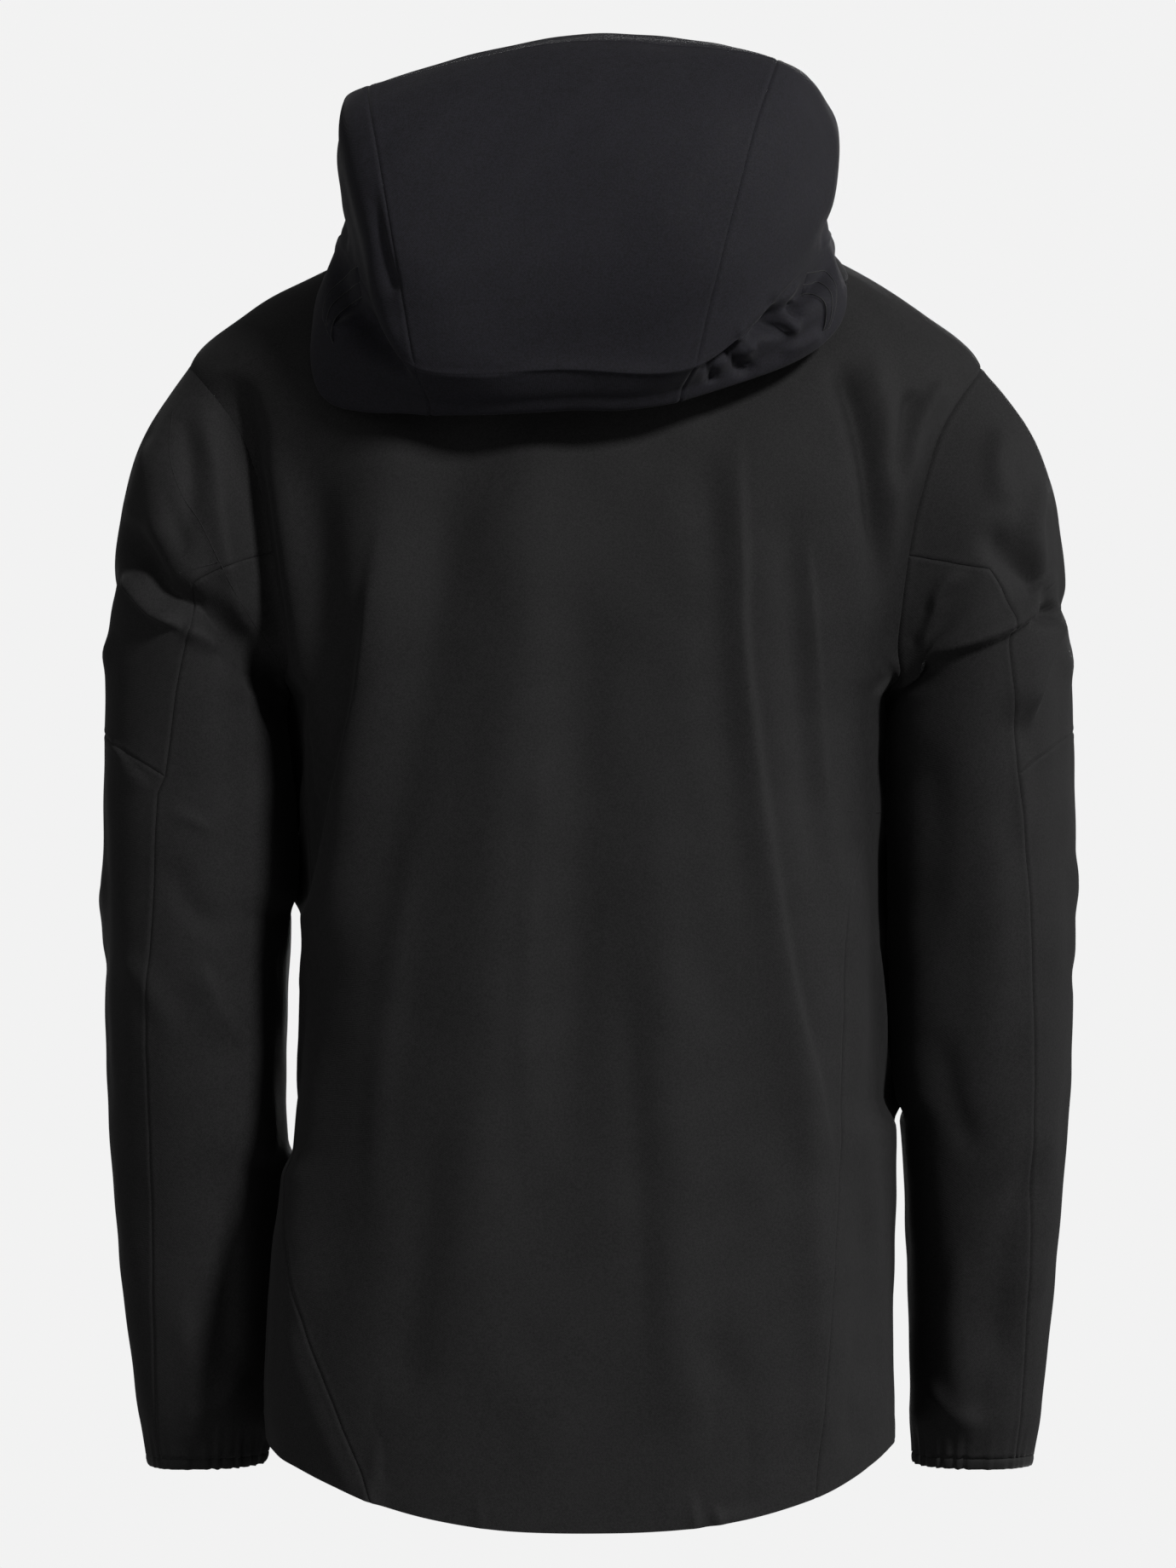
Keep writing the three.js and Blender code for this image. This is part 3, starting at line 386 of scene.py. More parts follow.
# Each fold, by the side it is seen from: its path as (x or y, z), its height, its width and, where they are
# not the usual ones, the shares of its length over which its ends die out, and its kind. These run across the
# armhole seams or lie in the back.
GARMENT_FOLDS = {
    "back": [
        ([(138, -280), (125, -188), (110, -92)], 8, 26, 0.35, 0.2),
        ([(176, -440), (158, -362), (132, -268), (116, -150)], 9, 14, 0.25, 0.35, "edge"),
        ([(217, -78), (207, -120), (199, -172), (190, -243), (182, -320)], -12, 11, 0.15, 0.3),
        (
            [(168, -360), (172, -301), (178, -243), (184, -196), (192, -149), (203, -112)],
            4, 7, 0.3, 0.25, "edge",
        ),
        ([(184, -96), (164, -170), (156, -268), (164, -360), (172, -430)], -10, 20),
        ([(236, -92), (222, -140), (212, -200), (204, -250)], 3, 8, 0.25, 0.3),
        ([(78, -110), (88, -200), (110, -330), (130, -470)], -4, 18),
        ([(40, -100), (40, -249), (55, -420), (70, -700)], 5.5, 24, 0.2, 0.2),
        ([(8, -180), (6, -360), (14, -600)], -4, 17),
        ([(92, -520), (104, -640), (110, -750)], -3.5, 16, 0.3, 0.15),
        ([(-40, -300), (-46, -480), (-58, -740)], 4, 20, 0.3, 0.15),
        ([(-68, -640), (-82, -700), (-84, -760)], -3, 14, 0.3, 0.1),
        ([(-70, -110), (-76, -200), (-84, -317), (-97, -430)], -4, 13, 0.25, 0.3),
        (
            [(-88, -110), (-91, -188), (-92, -250), (-103, -343), (-118, -444), (-135, -521), (-147, -585)],
            5, 8, 0.2, 0.3, "edge",
        ),
        ([(-128, -170), (-134, -230), (-139, -300), (-142, -345)], 2.2, 5, 0.3, 0.2, "edge"),
        ([(-118, -150), (-123, -230), (-130, -330), (-143, -420)], -3.5, 9),
        ([(-146, -70), (-158, -104), (-166, -140), (-171, -190), (-172, -240)], -8, 7, 0.2, 0.35),
        ([(-168, -66), (-177, -104), (-182, -150), (-182, -220)], 4, 8, 0.2, 0.3),
        ([(-216, -84), (-204, -104), (-195, -130), (-189, -172)], 4.5, 6, 0.2, 0.3),
        ([(-196, -90), (-186, -120), (-181, -160)], -4, 6, 0.2, 0.3),
        ([(-160, -360), (-166, -430), (-163, -520)], 4, 10),
        ([(-158, -540), (-164, -640), (-158, -730)], -4, 11, 0.3, 0.2),
        ([(-122, -450), (-134, -600), (-138, -740)], 3.5, 11, 0.3, 0.15),
        ([(160, -470), (170, -560), (168, -660)], 3, 12, 0.3, 0.2),
        ([(175, -614), (169, -664), (150, -722), (126, -762)], 1.6, 7, 0.3, 0.1),
        ([(118, -700), (126, -735), (128, -765)], 1.6, 5, 0.4, 0),
        ([(20, -250), (32, -420), (36, -560)], 2.2, 9),
        ([(-20, -420), (-30, -560), (-34, -700)], -2, 10),
        ([(100, -330), (118, -470), (130, -600)], 2, 9),
        ([(66, -738), (62, -775)], 0.7, 3.2, 0.6, 0),
        ([(-60, -740), (-64, -775)], 1.3, 3.4, 0.6, 0),
        ([(-66, -734), (-72, -775)], -1.1, 3.2, 0.6, 0),
        ([(-73, -742), (-80, -775)], 1.4, 3.4, 0.6, 0),
        # across the left sleeve
        ([(287, -160), (261, -207), (246, -219), (223, -228), (203, -258), (184, -319)], -12, 9, 0.12, 0.3),
        ([(240, -236), (262, -226), (281, -200)], 8, 6, 0.3, 0.2, "edge"),
        ([(216, -250), (228, -240), (246, -238)], 4, 6),
        ([(266, -118), (256, -160), (262, -196)], 4.5, 9),
        ([(226, -146), (218, -190), (214, -214)], 2.5, 8),
        ([(262, -126), (250, -168), (236, -200)], -3, 7),
        ([(246, -100), (238, -140), (238, -190)], -3, 7),
        ([(210, -262), (206, -300), (204, -370), (202, -430)], -3, 10, 0.2, 0.3),
        # across the right sleeve
        ([(-276, -215), (-250, -237), (-208, -253), (-184, -268)], 9, 6, 0.15, 0.1, "edge"),
        ([(-264, -223), (-274, -227), (-284, -222)], -10, 5),
        ([(-276, -140), (-267, -169), (-271, -200), (-279, -214)], 6.5, 6, 0.3, 0.2),
        ([(-286, -226), (-272, -262), (-264, -300)], 8, 8, 0.15, 0.35, "edge"),
        ([(-232, -172), (-258, -198), (-274, -212)], -8, 10, 0.3, 0.15),
        ([(-230, -203), (-213, -210), (-204, -230), (-193, -250)], 3.2, 5, 0.3, 0.2),
        ([(-206, -216), (-200, -232), (-192, -248)], -2.4, 4, 0.3, 0.2),
        ([(-250, -110), (-246, -140), (-252, -165)], 4, 8),
        ([(-204, -290), (-210, -360), (-206, -440)], -2.5, 10),
    ],
}

TORSO_FOLDS = {
    "front": [
        ([(150, -230), (110, -330), (70, -420), (40, -560)], 6, 14, 0.2, 0.3, "edge"),
        ([(-155, -240), (-120, -350), (-85, -470)], 6, 13, 0.2, 0.3, "edge"),
        ([(60, -90), (95, -190), (124, -300), (132, -400)], -5, 15),
        ([(-50, -90), (-88, -180), (-112, -310)], -5, 13),
        ([(-60, -420), (-48, -560), (-40, -690)], 4.5, 16),
        ([(150, -480), (148, -600), (140, -700)], -4, 14),
        ([(-150, -470), (-146, -600), (-150, -700)], 4, 13),
        ([(40, -300), (60, -380), (50, -460)], 3, 10),
    ],
    "left": [
        ([(30, -310), (-10, -370), (-60, -420)], 4, 9, 0.3, 0.3, "edge"),
        ([(60, -400), (20, -480), (-40, -540)], 4, 12),
        ([(-60, -540), (-20, -640), (0, -720)], -4, 14, 0.3, 0.2),
    ],
    "right": [
        ([(30, -310), (-10, -370), (-60, -420)], 4, 9, 0.3, 0.3, "edge"),
        ([(60, -400), (20, -480), (-40, -540)], 4, 12),
        ([(-50, -560), (-20, -640), (10, -720)], -4, 14, 0.3, 0.2),
    ],
}

LEFT_SLEEVE_FOLDS = {
    "back": [
        ([(290, -296), (274, -318), (260, -334)], 2, 5, 0.35, 0.35, "edge"),
        ([(256, -346), (238, -350), (222, -360)], 1.4, 4, 0.4, 0.4),
        ([(234, -432), (220, -462), (206, -494)], 3, 7, 0.3, 0.4, "edge"),
        ([(284, -430), (262, -454), (246, -490)], 2.4, 8, 0.3, 0.4),
        ([(250, -370), (240, -400), (214, -424)], -2.2, 8, 0.3, 0.4),
        ([(222, -540), (216, -620), (222, -700)], -4.5, 12, 0.3, 0.2),
        ([(248, -640), (240, -690), (242, -735)], 2.4, 8, 0.3, 0.1),
        ([(204, -686), (226, -708), (252, -716)], 2.6, 6),
    ],
    "left": [
        ([(40, -196), (0, -216), (-50, -206)], -3.5, 10),
        ([(46, -244), (10, -250), (-50, -240)], 2.6, 9),
        ([(30, -380), (-10, -400), (-60, -396)], 1.8, 12),
        ([(-70, -420), (-30, -440), (20, -430)], -1.8, 10),
    ],
    "front": [
        ([(204, -330), (236, -352), (280, -350)], -7, 9, 0.3, 0.4),
        ([(280, -384), (242, -380), (205, -400)], 6, 9, 0.4, 0.3, "edge"),
        ([(206, -430), (240, -446), (280, -440)], -5, 9, 0.3, 0.4),
        ([(280, -480), (244, -476), (206, -500)], 4, 9, 0.4, 0.3, "edge"),
        ([(196, -250), (226, -262), (262, -230)], 6, 10, 0.2, 0.4, "edge"),
        ([(200, -290), (236, -296), (276, -270)], -6, 10, 0.3, 0.4),
        ([(212, -600), (236, -640), (262, -650)], 3, 9),
    ],
}
RIGHT_SLEEVE_FOLDS = {
    "back": [
        ([(-262, -300), (-262, -340), (-258, -370)], 1.6, 6, 0.4, 0.4),
        ([(-236, -300), (-244, -420), (-236, -560)], 3, 13),
        ([(-212, -470), (-220, -520), (-238, -560)], -3, 9),
        ([(-274, -540), (-254, -610), (-248, -700)], -4, 11, 0.3, 0.2),
        ([(-226, -600), (-224, -660), (-232, -735)], 3, 9, 0.3, 0.1),
        ([(-205, -690), (-222, -712), (-246, -720)], 2.6, 6),
    ],
    "right": [
        ([(40, -210), (0, -222), (-50, -208)], -4, 8),
        ([(46, -250), (10, -256), (-50, -240)], 2.6, 9),
        ([(30, -370), (-10, -392), (-60, -386)], 1.8, 12),
        ([(-70, -430), (-30, -446), (20, -440)], -1.8, 10),
    ],
    "front": [
        ([(-204, -322), (-236, -344), (-280, -340)], -7, 9, 0.3, 0.4),
        ([(-205, -396), (-242, -376), (-280, -380)], 6, 9, 0.3, 0.4, "edge"),
        ([(-206, -420), (-240, -440), (-280, -436)], -5, 9, 0.3, 0.4),
        ([(-206, -496), (-244, -472), (-280, -474)], 4, 9, 0.3, 0.4, "edge"),
        ([(-262, -230), (-226, -262), (-196, -250)], 6, 10, 0.4, 0.3, "edge"),
        ([(-200, -290), (-236, -296), (-276, -270)], -6, 10, 0.3, 0.4),
        ([(-212, -590), (-236, -630), (-262, -642)], 3, 9),
    ],
}
HOOD_FOLDS = {
    "back": [
        ([(128, 30), (121, -14), (112, -46)], -4, 4, 0.5, 0.15),
        ([(134, -10), (120, -52), (108, -78)], 2.5, 6),
        ([(-129, -29), (-122, -40), (-117, -51), (-119, -59), (-126, -60)], 4.5, 3.2, 0.25, 0.2),
        ([(-127, -42), (-124, -50), (-124, -56)], -6, 3, 0.3, 0.2),
        ([(-110, -42), (-108, -56), (-112, -66)], -4, 4.5, 0.3, 0.2),
        ([(-88, -71), (-97, -70)], 4.5, 6, 0, 0),
        ([(-82, -72), (-88, -83), (-98, -86)], -4.5, 3.2, 0.2, 0.2),
        ([(-101, -62), (-110, -63), (-118, -62)], -4, 3, 0.2, 0.2),
        ([(-138, -62), (-128, -68), (-112, -76)], 3, 4, 0.2, 0.3),
        ([(-72, -82), (-73, -94)], -3.5, 2.6, 0.2, 0.1),
        ([(152, -56), (146, -58), (139, -44)], 4, 4, 0.2, 0.3),
        ([(136, -42), (131, -64), (120, -84)], -5, 8),
    ],
    "left": [
        ([(20, 40), (60, 10), (90, -10)], -3, 8),
        ([(-40, 10), (0, 4), (40, -10)], 4, 8, 0.3, 0.3, "edge"),
    ],
    "right": [
        ([(20, 40), (60, 10), (90, -10)], -3, 8),
        ([(-40, 10), (0, 4), (40, -10)], 4, 8),
    ],
}

SLEEVE_FOLDS = {1: LEFT_SLEEVE_FOLDS, -1: RIGHT_SLEEVE_FOLDS}

SEAM_DEEP, SEAM_WIDE = 0.5, 0.85
SEAM_RISE, RISE_AT, RISE_WIDE = 0.2, 2.6, 1.4  # the cloth stands up a little beside its seams
FOLD_FADE = 16  # folds of one piece die out over this distance from the armhole
BLEND = 30  # the torso and sleeve share their direction of relief this far from the armhole


def tree_of(points):
    points = np.asarray(points, float).reshape(-1, 3)
    tree = kdtree.KDTree(len(points))
    for i, p in enumerate(points):
        tree.insert(p, i)
    tree.balance()
    return tree


def nearest(tree, points):
    """Distance to the nearest point of the tree, and which it is."""
    found = [tree.find(p) for p in points.reshape(-1, 3)]
    distance = np.array([f[2] for f in found]).reshape(points.shape[:-1])
    return distance, np.array([f[1] for f in found]).reshape(points.shape[:-1])


def unit(vectors):
    return vectors / np.maximum(np.linalg.norm(vectors, axis=-1, keepdims=True), 1e-12)


def fine(n):
    return np.linspace(0, 1, n)


MIRROR = np.array([-1, 1, 1])
loop_phi = fine(1201)[:-1] * 2 * np.pi
left_loop = armhole(loop_phi)
loop_k = (UNDERARM + SHOULDER) / 2 + (SHOULDER - UNDERARM) / 2 * np.cos(loop_phi)
loop_normals = unit(
    normals_of(torso, ARMHOLE_SPREAD * np.sin(loop_phi), loop_k, 1)
    + normals_of(sleeve(1), loop_phi, np.full_like(loop_phi, 0.02), -1)
)
loop_points = np.concatenate([left_loop, left_loop * MIRROR])
loop_normals = np.concatenate([loop_normals, loop_normals * MIRROR])
armhole_tree = tree_of(loop_points)
# The left armhole's seam shows at the back a little further out than the pieces' joint.
armhole_seams = [left_loop[np.sin(loop_phi) < 0.05], left_loop * MIRROR]

LOW_K = fine(900) * UNDERARM
TOP_K = SHOULDER + fine(260) * (NECK - SHOULDER)
torso_seams = list(armhole_seams)
for angle in (
    panel_edge(LOW_K, SIDE_SEAM[1]),
    -panel_edge(LOW_K, FRONT_SEAM),
    np.pi - panel_edge(LOW_K, SIDE_SEAM[-1]),
    np.pi + panel_edge(LOW_K, FRONT_SEAM),
):
    torso_seams.append(torso(angle, LOW_K))
for angle in (panel_edge(TOP_K, FRONT_SEAM), np.pi - panel_edge(TOP_K, FRONT_SEAM)):
    torso_seams.append(torso(angle, TOP_K))
torso_tree = tree_of(np.concatenate(torso_seams))


def seam_dip(points, tree):
    gap = nearest(tree, points)[0]
    dip = SEAM_DEEP * np.exp(-((gap / SEAM_WIDE) ** 2))
    return SEAM_RISE * np.exp(-(((gap - RISE_AT) / RISE_WIDE) ** 2)) - dip


def all_folds(points, normals, folds):
    total = 0
    for view, rows in folds.items():
        for row in rows:
            total = total + fold(points, normals, view, *row)
    return total


def window(x, start, full, stop, end):
    """0 before start, 1 between full and stop, 0 after end."""
    return smoothstep(start, full, x) * (1 - smoothstep(stop, end, x))


PRESS = 8  # how far an arm and the body's side push each other's cloth aside
PRESS_HIGH, PRESS_LOW = -12, -22  # where, from back to front, the push changes sides
PRESS_TURN = 12  # over this distance
TOUCH_X, TOUCH_WIDE = 188, 22  # how far out arm and side meet, and how wide the meeting is
UNDER_LEFT_ARM = (-412, -392, -278, -262)  # heights where the push starts, is full, and ends again
UNDER_RIGHT_ARM = (-538, -518, -278, -262)
LEFT_CUFF, CUFF_PRESS = (-770, -735, -566, -548), 0.75


def press_arms(points):
    """Where an arm hangs against the body the cloth of both gives way. Under the arm it goes inwards behind
    and outwards in front; beside the left cuff it goes the other way, as the forearm hangs forward."""
    x, y, z = points[..., 0], points[..., 1], points[..., 2]
    high, low = np.tanh((y - PRESS_HIGH) / PRESS_TURN), np.tanh((y - PRESS_LOW) / PRESS_TURN)
    left = window(z, *UNDER_LEFT_ARM) * high - CUFF_PRESS * window(z, *LEFT_CUFF) * low
    right = window(z, *UNDER_RIGHT_ARM) * high
    touch = np.where(x > 0, left, right) * np.exp(-(((np.abs(x) - TOUCH_X) / TOUCH_WIDE) ** 2))
    pushed = points.copy()
    pushed[..., 0] = x - np.sign(x) * PRESS * touch
    return pushed


def straight_zip(x, bottom, top):
    """Points down a zip of the front, given the half widths of its two ends."""
    share = fine(120)
    z = bottom + (top - bottom) * share
    across = x[0] + (x[1] - x[0]) * share
    return np.stack([across, -(FRONT_Y - FRONT_LEAN * z), z], -1)


def node_corners(name):
    """The lowest and highest corner of a CAD node's box, in the body's frame."""
    origin = Vector((0, BODY_Y, 0))
    return tuple(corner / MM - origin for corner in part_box(name))


FRONT_ZIP_ENDS = (-720, 60)
ZIP_CORNER = 8  # from the corner of a slanting zip's box to its middle line


def hold_lines():
    """Where stiff things hold the cloth flat: the zips of the front."""
    lines = [straight_zip((0, 0), *FRONT_ZIP_ENDS)]
    low, high = node_corners("chest_pocket_zip")
    middle = (low.x + high.x) / 2
    lines.append(straight_zip((middle, middle), low.z, high.z))
    for side, name in SIDE.items():
        low, high = node_corners("hand_pocket_zip_" + name)
        near, far = sorted((abs(low.x), abs(high.x)))
        lines.append(straight_zip((side * (far - ZIP_CORNER), side * (near + ZIP_CORNER)), low.z, high.z))
    return tree_of(np.concatenate(lines))


hold_tree = hold_lines()
HELD_WITHIN, FREE_BEYOND = 12, 45  # folds fade in between these distances from a zip
HEM_TOP, HEM_FADE, HEM_IN = -700, 30, 1.2  # over its facing the cloth dips no further in than HEM_IN


def garment(points, normals, own_folds, seams, depth):
    """Cloth of the torso or of a sleeve: its plain surface with folds, undulation and seams added."""
    distance, index = nearest(armhole_tree, points)
    share = smoothstep(0, BLEND, distance)[..., None]
    normals = unit(loop_normals[index] * (1 - share) + normals * share)
    height = waves(points, 3, 120, 1.6, (1, 1, 0.3)) + waves(points, 4, 40, 0.45, (1, 1, 0.6))
    height = height + all_folds(points, normals, GARMENT_FOLDS)
    height = height + all_folds(points, normals, own_folds) * smoothstep(0, FOLD_FADE, distance)
    height = height * smoothstep(HELD_WITHIN, FREE_BEYOND, nearest(hold_tree, points)[0])
    if seams is torso_tree:
        near_hem = 1 - smoothstep(HEM_TOP, HEM_TOP + HEM_FADE, points[..., 2])
        height = height + (np.maximum(height, -HEM_IN) - height) * near_hem
    height = height + seam_dip(points, seams)
    return press_arms(points + normals * (height - depth)[..., None])


def torso_cloth(theta, k, depth=0.0):
    points = torso(theta, k)
    return garment(points, normals_of(torso, theta, k, 1), TORSO_FOLDS, torso_tree, depth)


def sleeve_seams(side, v):
    """Angles of the back and front seams of a sleeve."""
    return np.interp(v, *BACK_SLEEVE_SEAM[side]) * DEG, np.interp(v, *FRONT_SLEEVE_SEAM) * DEG


GATHER_FROM, GATHER_FULL = 8.6, 8.96  # rings between which the cuff gathers the sleeve
GATHER_TURN = 0.35  # the gathers are densest this far round from the sleeve's inner side


def sleeve_cloth(side):
    surface = sleeve(side)
    v = fine(1200) * WRIST
    back, front = sleeve_seams(side, v)
    outside = fine(300)
    low, high = (np.interp(ELBOW, v, edge) for edge in (front, back + 2 * np.pi))
    elbow = surface(low + (high - low) * outside, np.full(300, float(ELBOW)))
    seams = tree_of(np.concatenate([surface(back, v), surface(front, v), elbow, *armhole_seams]))
    folds = SLEEVE_FOLDS[side]

    def cloth(phi, v, depth=0.0):
        points = surface(phi, v)
        last = smoothstep(GATHER_FROM, GATHER_FULL, v)
        gathered = 0.25 + 0.75 * smoothstep(0.1, 0.5, -np.cos(phi + GATHER_TURN))
        pucker = np.sin(phi * 29 + 1.6 * np.sin(3 * phi)) + 0.7 * np.sin(phi * 47 + 2 * np.sin(2 * phi + 1))
        depth = depth + last * (1.2 + 1.5 * gathered) - 0.85 * pucker * last * gathered
        return garment(points, normals_of(surface, phi, v, -side), folds, seams, depth)

    return cloth


hood_seam_lines = [hood(float(side), fine(700) * HOOD_TOP) for side in SIDE]
brim_line = hood(fine(400) * 2 - 1, BRIM_FROM)
hood_tree = tree_of(np.concatenate([*hood_seam_lines, brim_line]))

CREASE_TUCK = 9  # how far the cloth under the hood's crease is tucked in at its sides
TUCKED = (1.03, 1.3, 2.3, 2.8)  # the profiles where the tuck starts, is full, and ends again
TUCK_BELOW, TUCK_WIDE = 0.3, 0.2  # its place under the crease and its width, in points of a profile
CREASE_FLAT, FLAT_WIDE = 0.9, 0.07  # share of the relief that is taken out at the crease itself


def hood_cloth(u, w, depth=0.0):
    points = hood(u, w)
    normals = normals_of(hood, u, w, -1)
    height = waves(points, 21, 110, 1.1, (1, 1, 0.6)) + waves(points, 22, 36, 0.3)
    height = height + all_folds(points, normals, HOOD_FOLDS) + seam_dip(points, hood_tree)
    height = height * (1 - CREASE_FLAT * np.exp(-(((w - HOOD_CREASE) / FLAT_WIDE) ** 2)))
    tuck = window(np.abs(u), *TUCKED) * np.exp(-(((w - HOOD_CREASE + TUCK_BELOW) / TUCK_WIDE) ** 2))
    height = height - CREASE_TUCK * tuck
    return points + normals * (height - depth)[..., None]


def collar_cloth(theta, h, depth=0.0):
    points = collar(theta, h)
    normals = normals_of(collar, theta, h, 1)
    height = waves(points, 31, 70, 0.9, (1, 1, 0.4)) * smoothstep(0.05, 0.3, h)
    height = height + 1.2 * smoothstep(0.75, 1, h) * smoothstep(-0.3, 0.6, np.sin(theta))
    return points + normals * (height - depth)[..., None]


# ---------------------------------------------------------------- meshes


def to_metres(points):
    return (np.asarray(points, float) + np.array([0, BODY_Y, 0])) * MM


def mesh_object(name, points, faces, finish):
    mesh = bpy.data.meshes.new(name)
    mesh.from_pydata(to_metres(points).reshape(-1, 3).tolist(), [], faces)
    mesh.validate()
    mesh.polygons.foreach_set("use_smooth", [True] * len(mesh.polygons))
    mesh.update()
    made = bpy.data.objects.new(name, mesh)
    bpy.context.scene.collection.objects.link(made)
    mesh.materials.append(finish)
    return made


def joined(parts):
    """Several pairs of points and faces as one pair."""
    points, faces, start = [], [], 0
    for own_points, own_faces in parts:
        points.append(own_points)
        faces += [tuple(start + i for i in face) for face in own_faces]
        start += len(own_points)
    return np.concatenate(points), faces


def grid_faces(rows, columns, flip=False, closed=False, keep=None):
    """Quads over a grid of points; keep says which cells stay."""
    faces = []
    for i in range(rows - 1):
        for j in range(columns if closed else columns - 1):
            if keep is not None and not keep[i, j]:
                continue
            n = (j + 1) % columns
            quad = (i * columns + j, i * columns + n, (i + 1) * columns + n, (i + 1) * columns + j)
            faces.append(quad[::-1] if flip else quad)
    return faces


SEAM_STEPS = np.array([0, 0.45, 0.9, 1.4, 2.0, 2.8, 3.8, 5.2])  # distances from a seam of the rows beside it


def crowded(length, seam_at_end=True):
    """Shares along a run of this length, close together near its ends, where a seam dips in."""
    start = SEAM_STEPS
    stop = SEAM_STEPS if seam_at_end else np.array([0.0])
    count = max(2, round((length - start[-1] - stop[-1]) / STEP))
    middle = np.linspace(start[-1], length - stop[-1], count + 1)[1:-1]
    return np.concatenate([start, middle, length - stop[::-1]]) / length


def spaced(values, least):
    """The values in order, leaving out any that come closer than least to the one before."""
    values = np.unique(values)
    kept = [values[0]]
    for value in values[1:-1]:
        if value - kept[-1] > least and values[-1] - value > least:
            kept.append(value)
    return np.array(kept + [values[-1]])


def dress(made, body="shell", replaces=(), thick=CLOTH, lining=None):
    """Thickness, finish and place of a piece of cloth."""
    if thick:
        solid = made.modifiers.new("cloth", "SOLIDIFY")
        solid.thickness = thick * MM
        solid.offset = -1
        solid.use_even_offset = False
        if lining is not None:
            made.data.materials.append(lining)
            solid.material_offset = len(made.data.materials) - 1
            solid.material_offset_rim = 0
    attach(made, body)
    if replaces:
        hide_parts(*replaces)
    return made


sewn = {}  # the pieces sewn on each of them


def cut(piece, surface, p, q):
    """Works out the points of a panel's pattern, without folds or gathers, and keeps nothing."""
    points = np.asarray(surface(p, q)) * MM


def sewn_to(piece, *others):
    sewn.setdefault(piece.name, []).extend(others)


def strip(name, cloth, p, q, finish, turn, thick=0.8, lining=None, keep=None):
    """A piece of cloth in the place of the named CAD node; turn is 1 where p then q run anticlockwise seen
    from outside, and -1 where they don't."""
    points = cloth(*np.broadcast_arrays(p, q))
    faces = grid_faces(*points.shape[:2], flip=turn < 0, keep=keep)
    made = mesh_object(name + "_cloth", points, faces, finish)
    return dress(made, replaces=[name], thick=thick, lining=lining)


def panel(name, cloth, pattern, p, q, finish, turn, thick=CLOTH, keep=None):
    """A lined panel of the shell; its pattern is the same surface without folds."""
    lining = TRICOT if name == "collar" else BACKER
    made = strip(name, cloth, p, q, finish, turn, thick, lining, keep)
    cut(made, pattern, *np.broadcast_arrays(p, q))
    return made


# ---------------------------------------------------------------- materials


def material(name, colour, roughness, metallic=0.0, sheen=0.0, coat=0.0, specular=0.5):
    made = bpy.data.materials.new(name)
    made.use_nodes = True
    tree = made.node_tree
    shader = tree.nodes["Principled BSDF"]
    shader.inputs["Base Color"].default_value = (*colour, 1)
    shader.inputs["Roughness"].default_value = roughness
    shader.inputs["Metallic"].default_value = metallic
    shader.inputs["Sheen Weight"].default_value = sheen
    shader.inputs["Sheen Roughness"].default_value = 0.4
    shader.inputs["Coat Weight"].default_value = coat
    shader.inputs["Specular IOR Level"].default_value = specular
    return made, tree, shader


def noise(tree, coordinates, scale, detail, rough):
    made = tree.nodes.new("ShaderNodeTexNoise")
    made.inputs["Scale"].default_value = scale
    made.inputs["Detail"].default_value = detail
    made.inputs["Roughness"].default_value = rough
    tree.links.new(coordinates, made.inputs["Vector"])
    return made.outputs["Fac"]


def mapped(tree, value, low, high, to_low, to_high):
    made = tree.nodes.new("ShaderNodeMapRange")
    made.inputs["From Min"].default_value = low
    made.inputs["From Max"].default_value = high
    made.inputs["To Min"].default_value = to_low
    made.inputs["To Max"].default_value = to_high
    tree.links.new(value, made.inputs["Value"])
    return made.outputs["Result"]


def math_node(tree, operation, first, second=None):
    made = tree.nodes.new("ShaderNodeMath")
    made.operation = operation
    for i, value in enumerate((first, second)):
        if value is None:
            continue
        if isinstance(value, (int, float)):
            made.inputs[i].default_value = value
        else:
            tree.links.new(value, made.inputs[i])
    return made.outputs[0]


def tinted(tree, shader, value, dark, light):
    """The base colour runs from dark to light with value."""
    mix = tree.nodes.new("ShaderNodeMix")
    mix.data_type = "RGBA"
    mix.inputs["A"].default_value = (*dark, 1)
    mix.inputs["B"].default_value = (*light, 1)
    tree.links.new(value, mix.inputs["Factor"])
    tree.links.new(mix.outputs["Result"], shader.inputs["Base Color"])


def bump(tree, shader, height, strength, distance):
    made = tree.nodes.new("ShaderNodeBump")
    made.inputs["Strength"].default_value = strength
    made.inputs["Distance"].default_value = distance
    tree.links.new(height, made.inputs["Height"])
    tree.links.new(made.outputs["Normal"], shader.inputs["Normal"])


def weave_height(tree, pitch):
    """Height of a plain weave with the given pitch in metres, and the object coordinates."""
    coordinates = tree.nodes.new("ShaderNodeTexCoord").outputs["Object"]
    split = tree.nodes.new("ShaderNodeSeparateXYZ")
    tree.links.new(coordinates, split.inputs[0])
    rate = 2 * math.pi / pitch
    round_body = math_node(tree, "ADD", split.outputs["X"], split.outputs["Y"])
    warp = math_node(tree, "SINE", math_node(tree, "MULTIPLY", round_body, rate))
    weft = math_node(tree, "SINE", math_node(tree, "MULTIPLY", split.outputs["Z"], rate))
    return math_node(tree, "MULTIPLY", warp, weft), coordinates


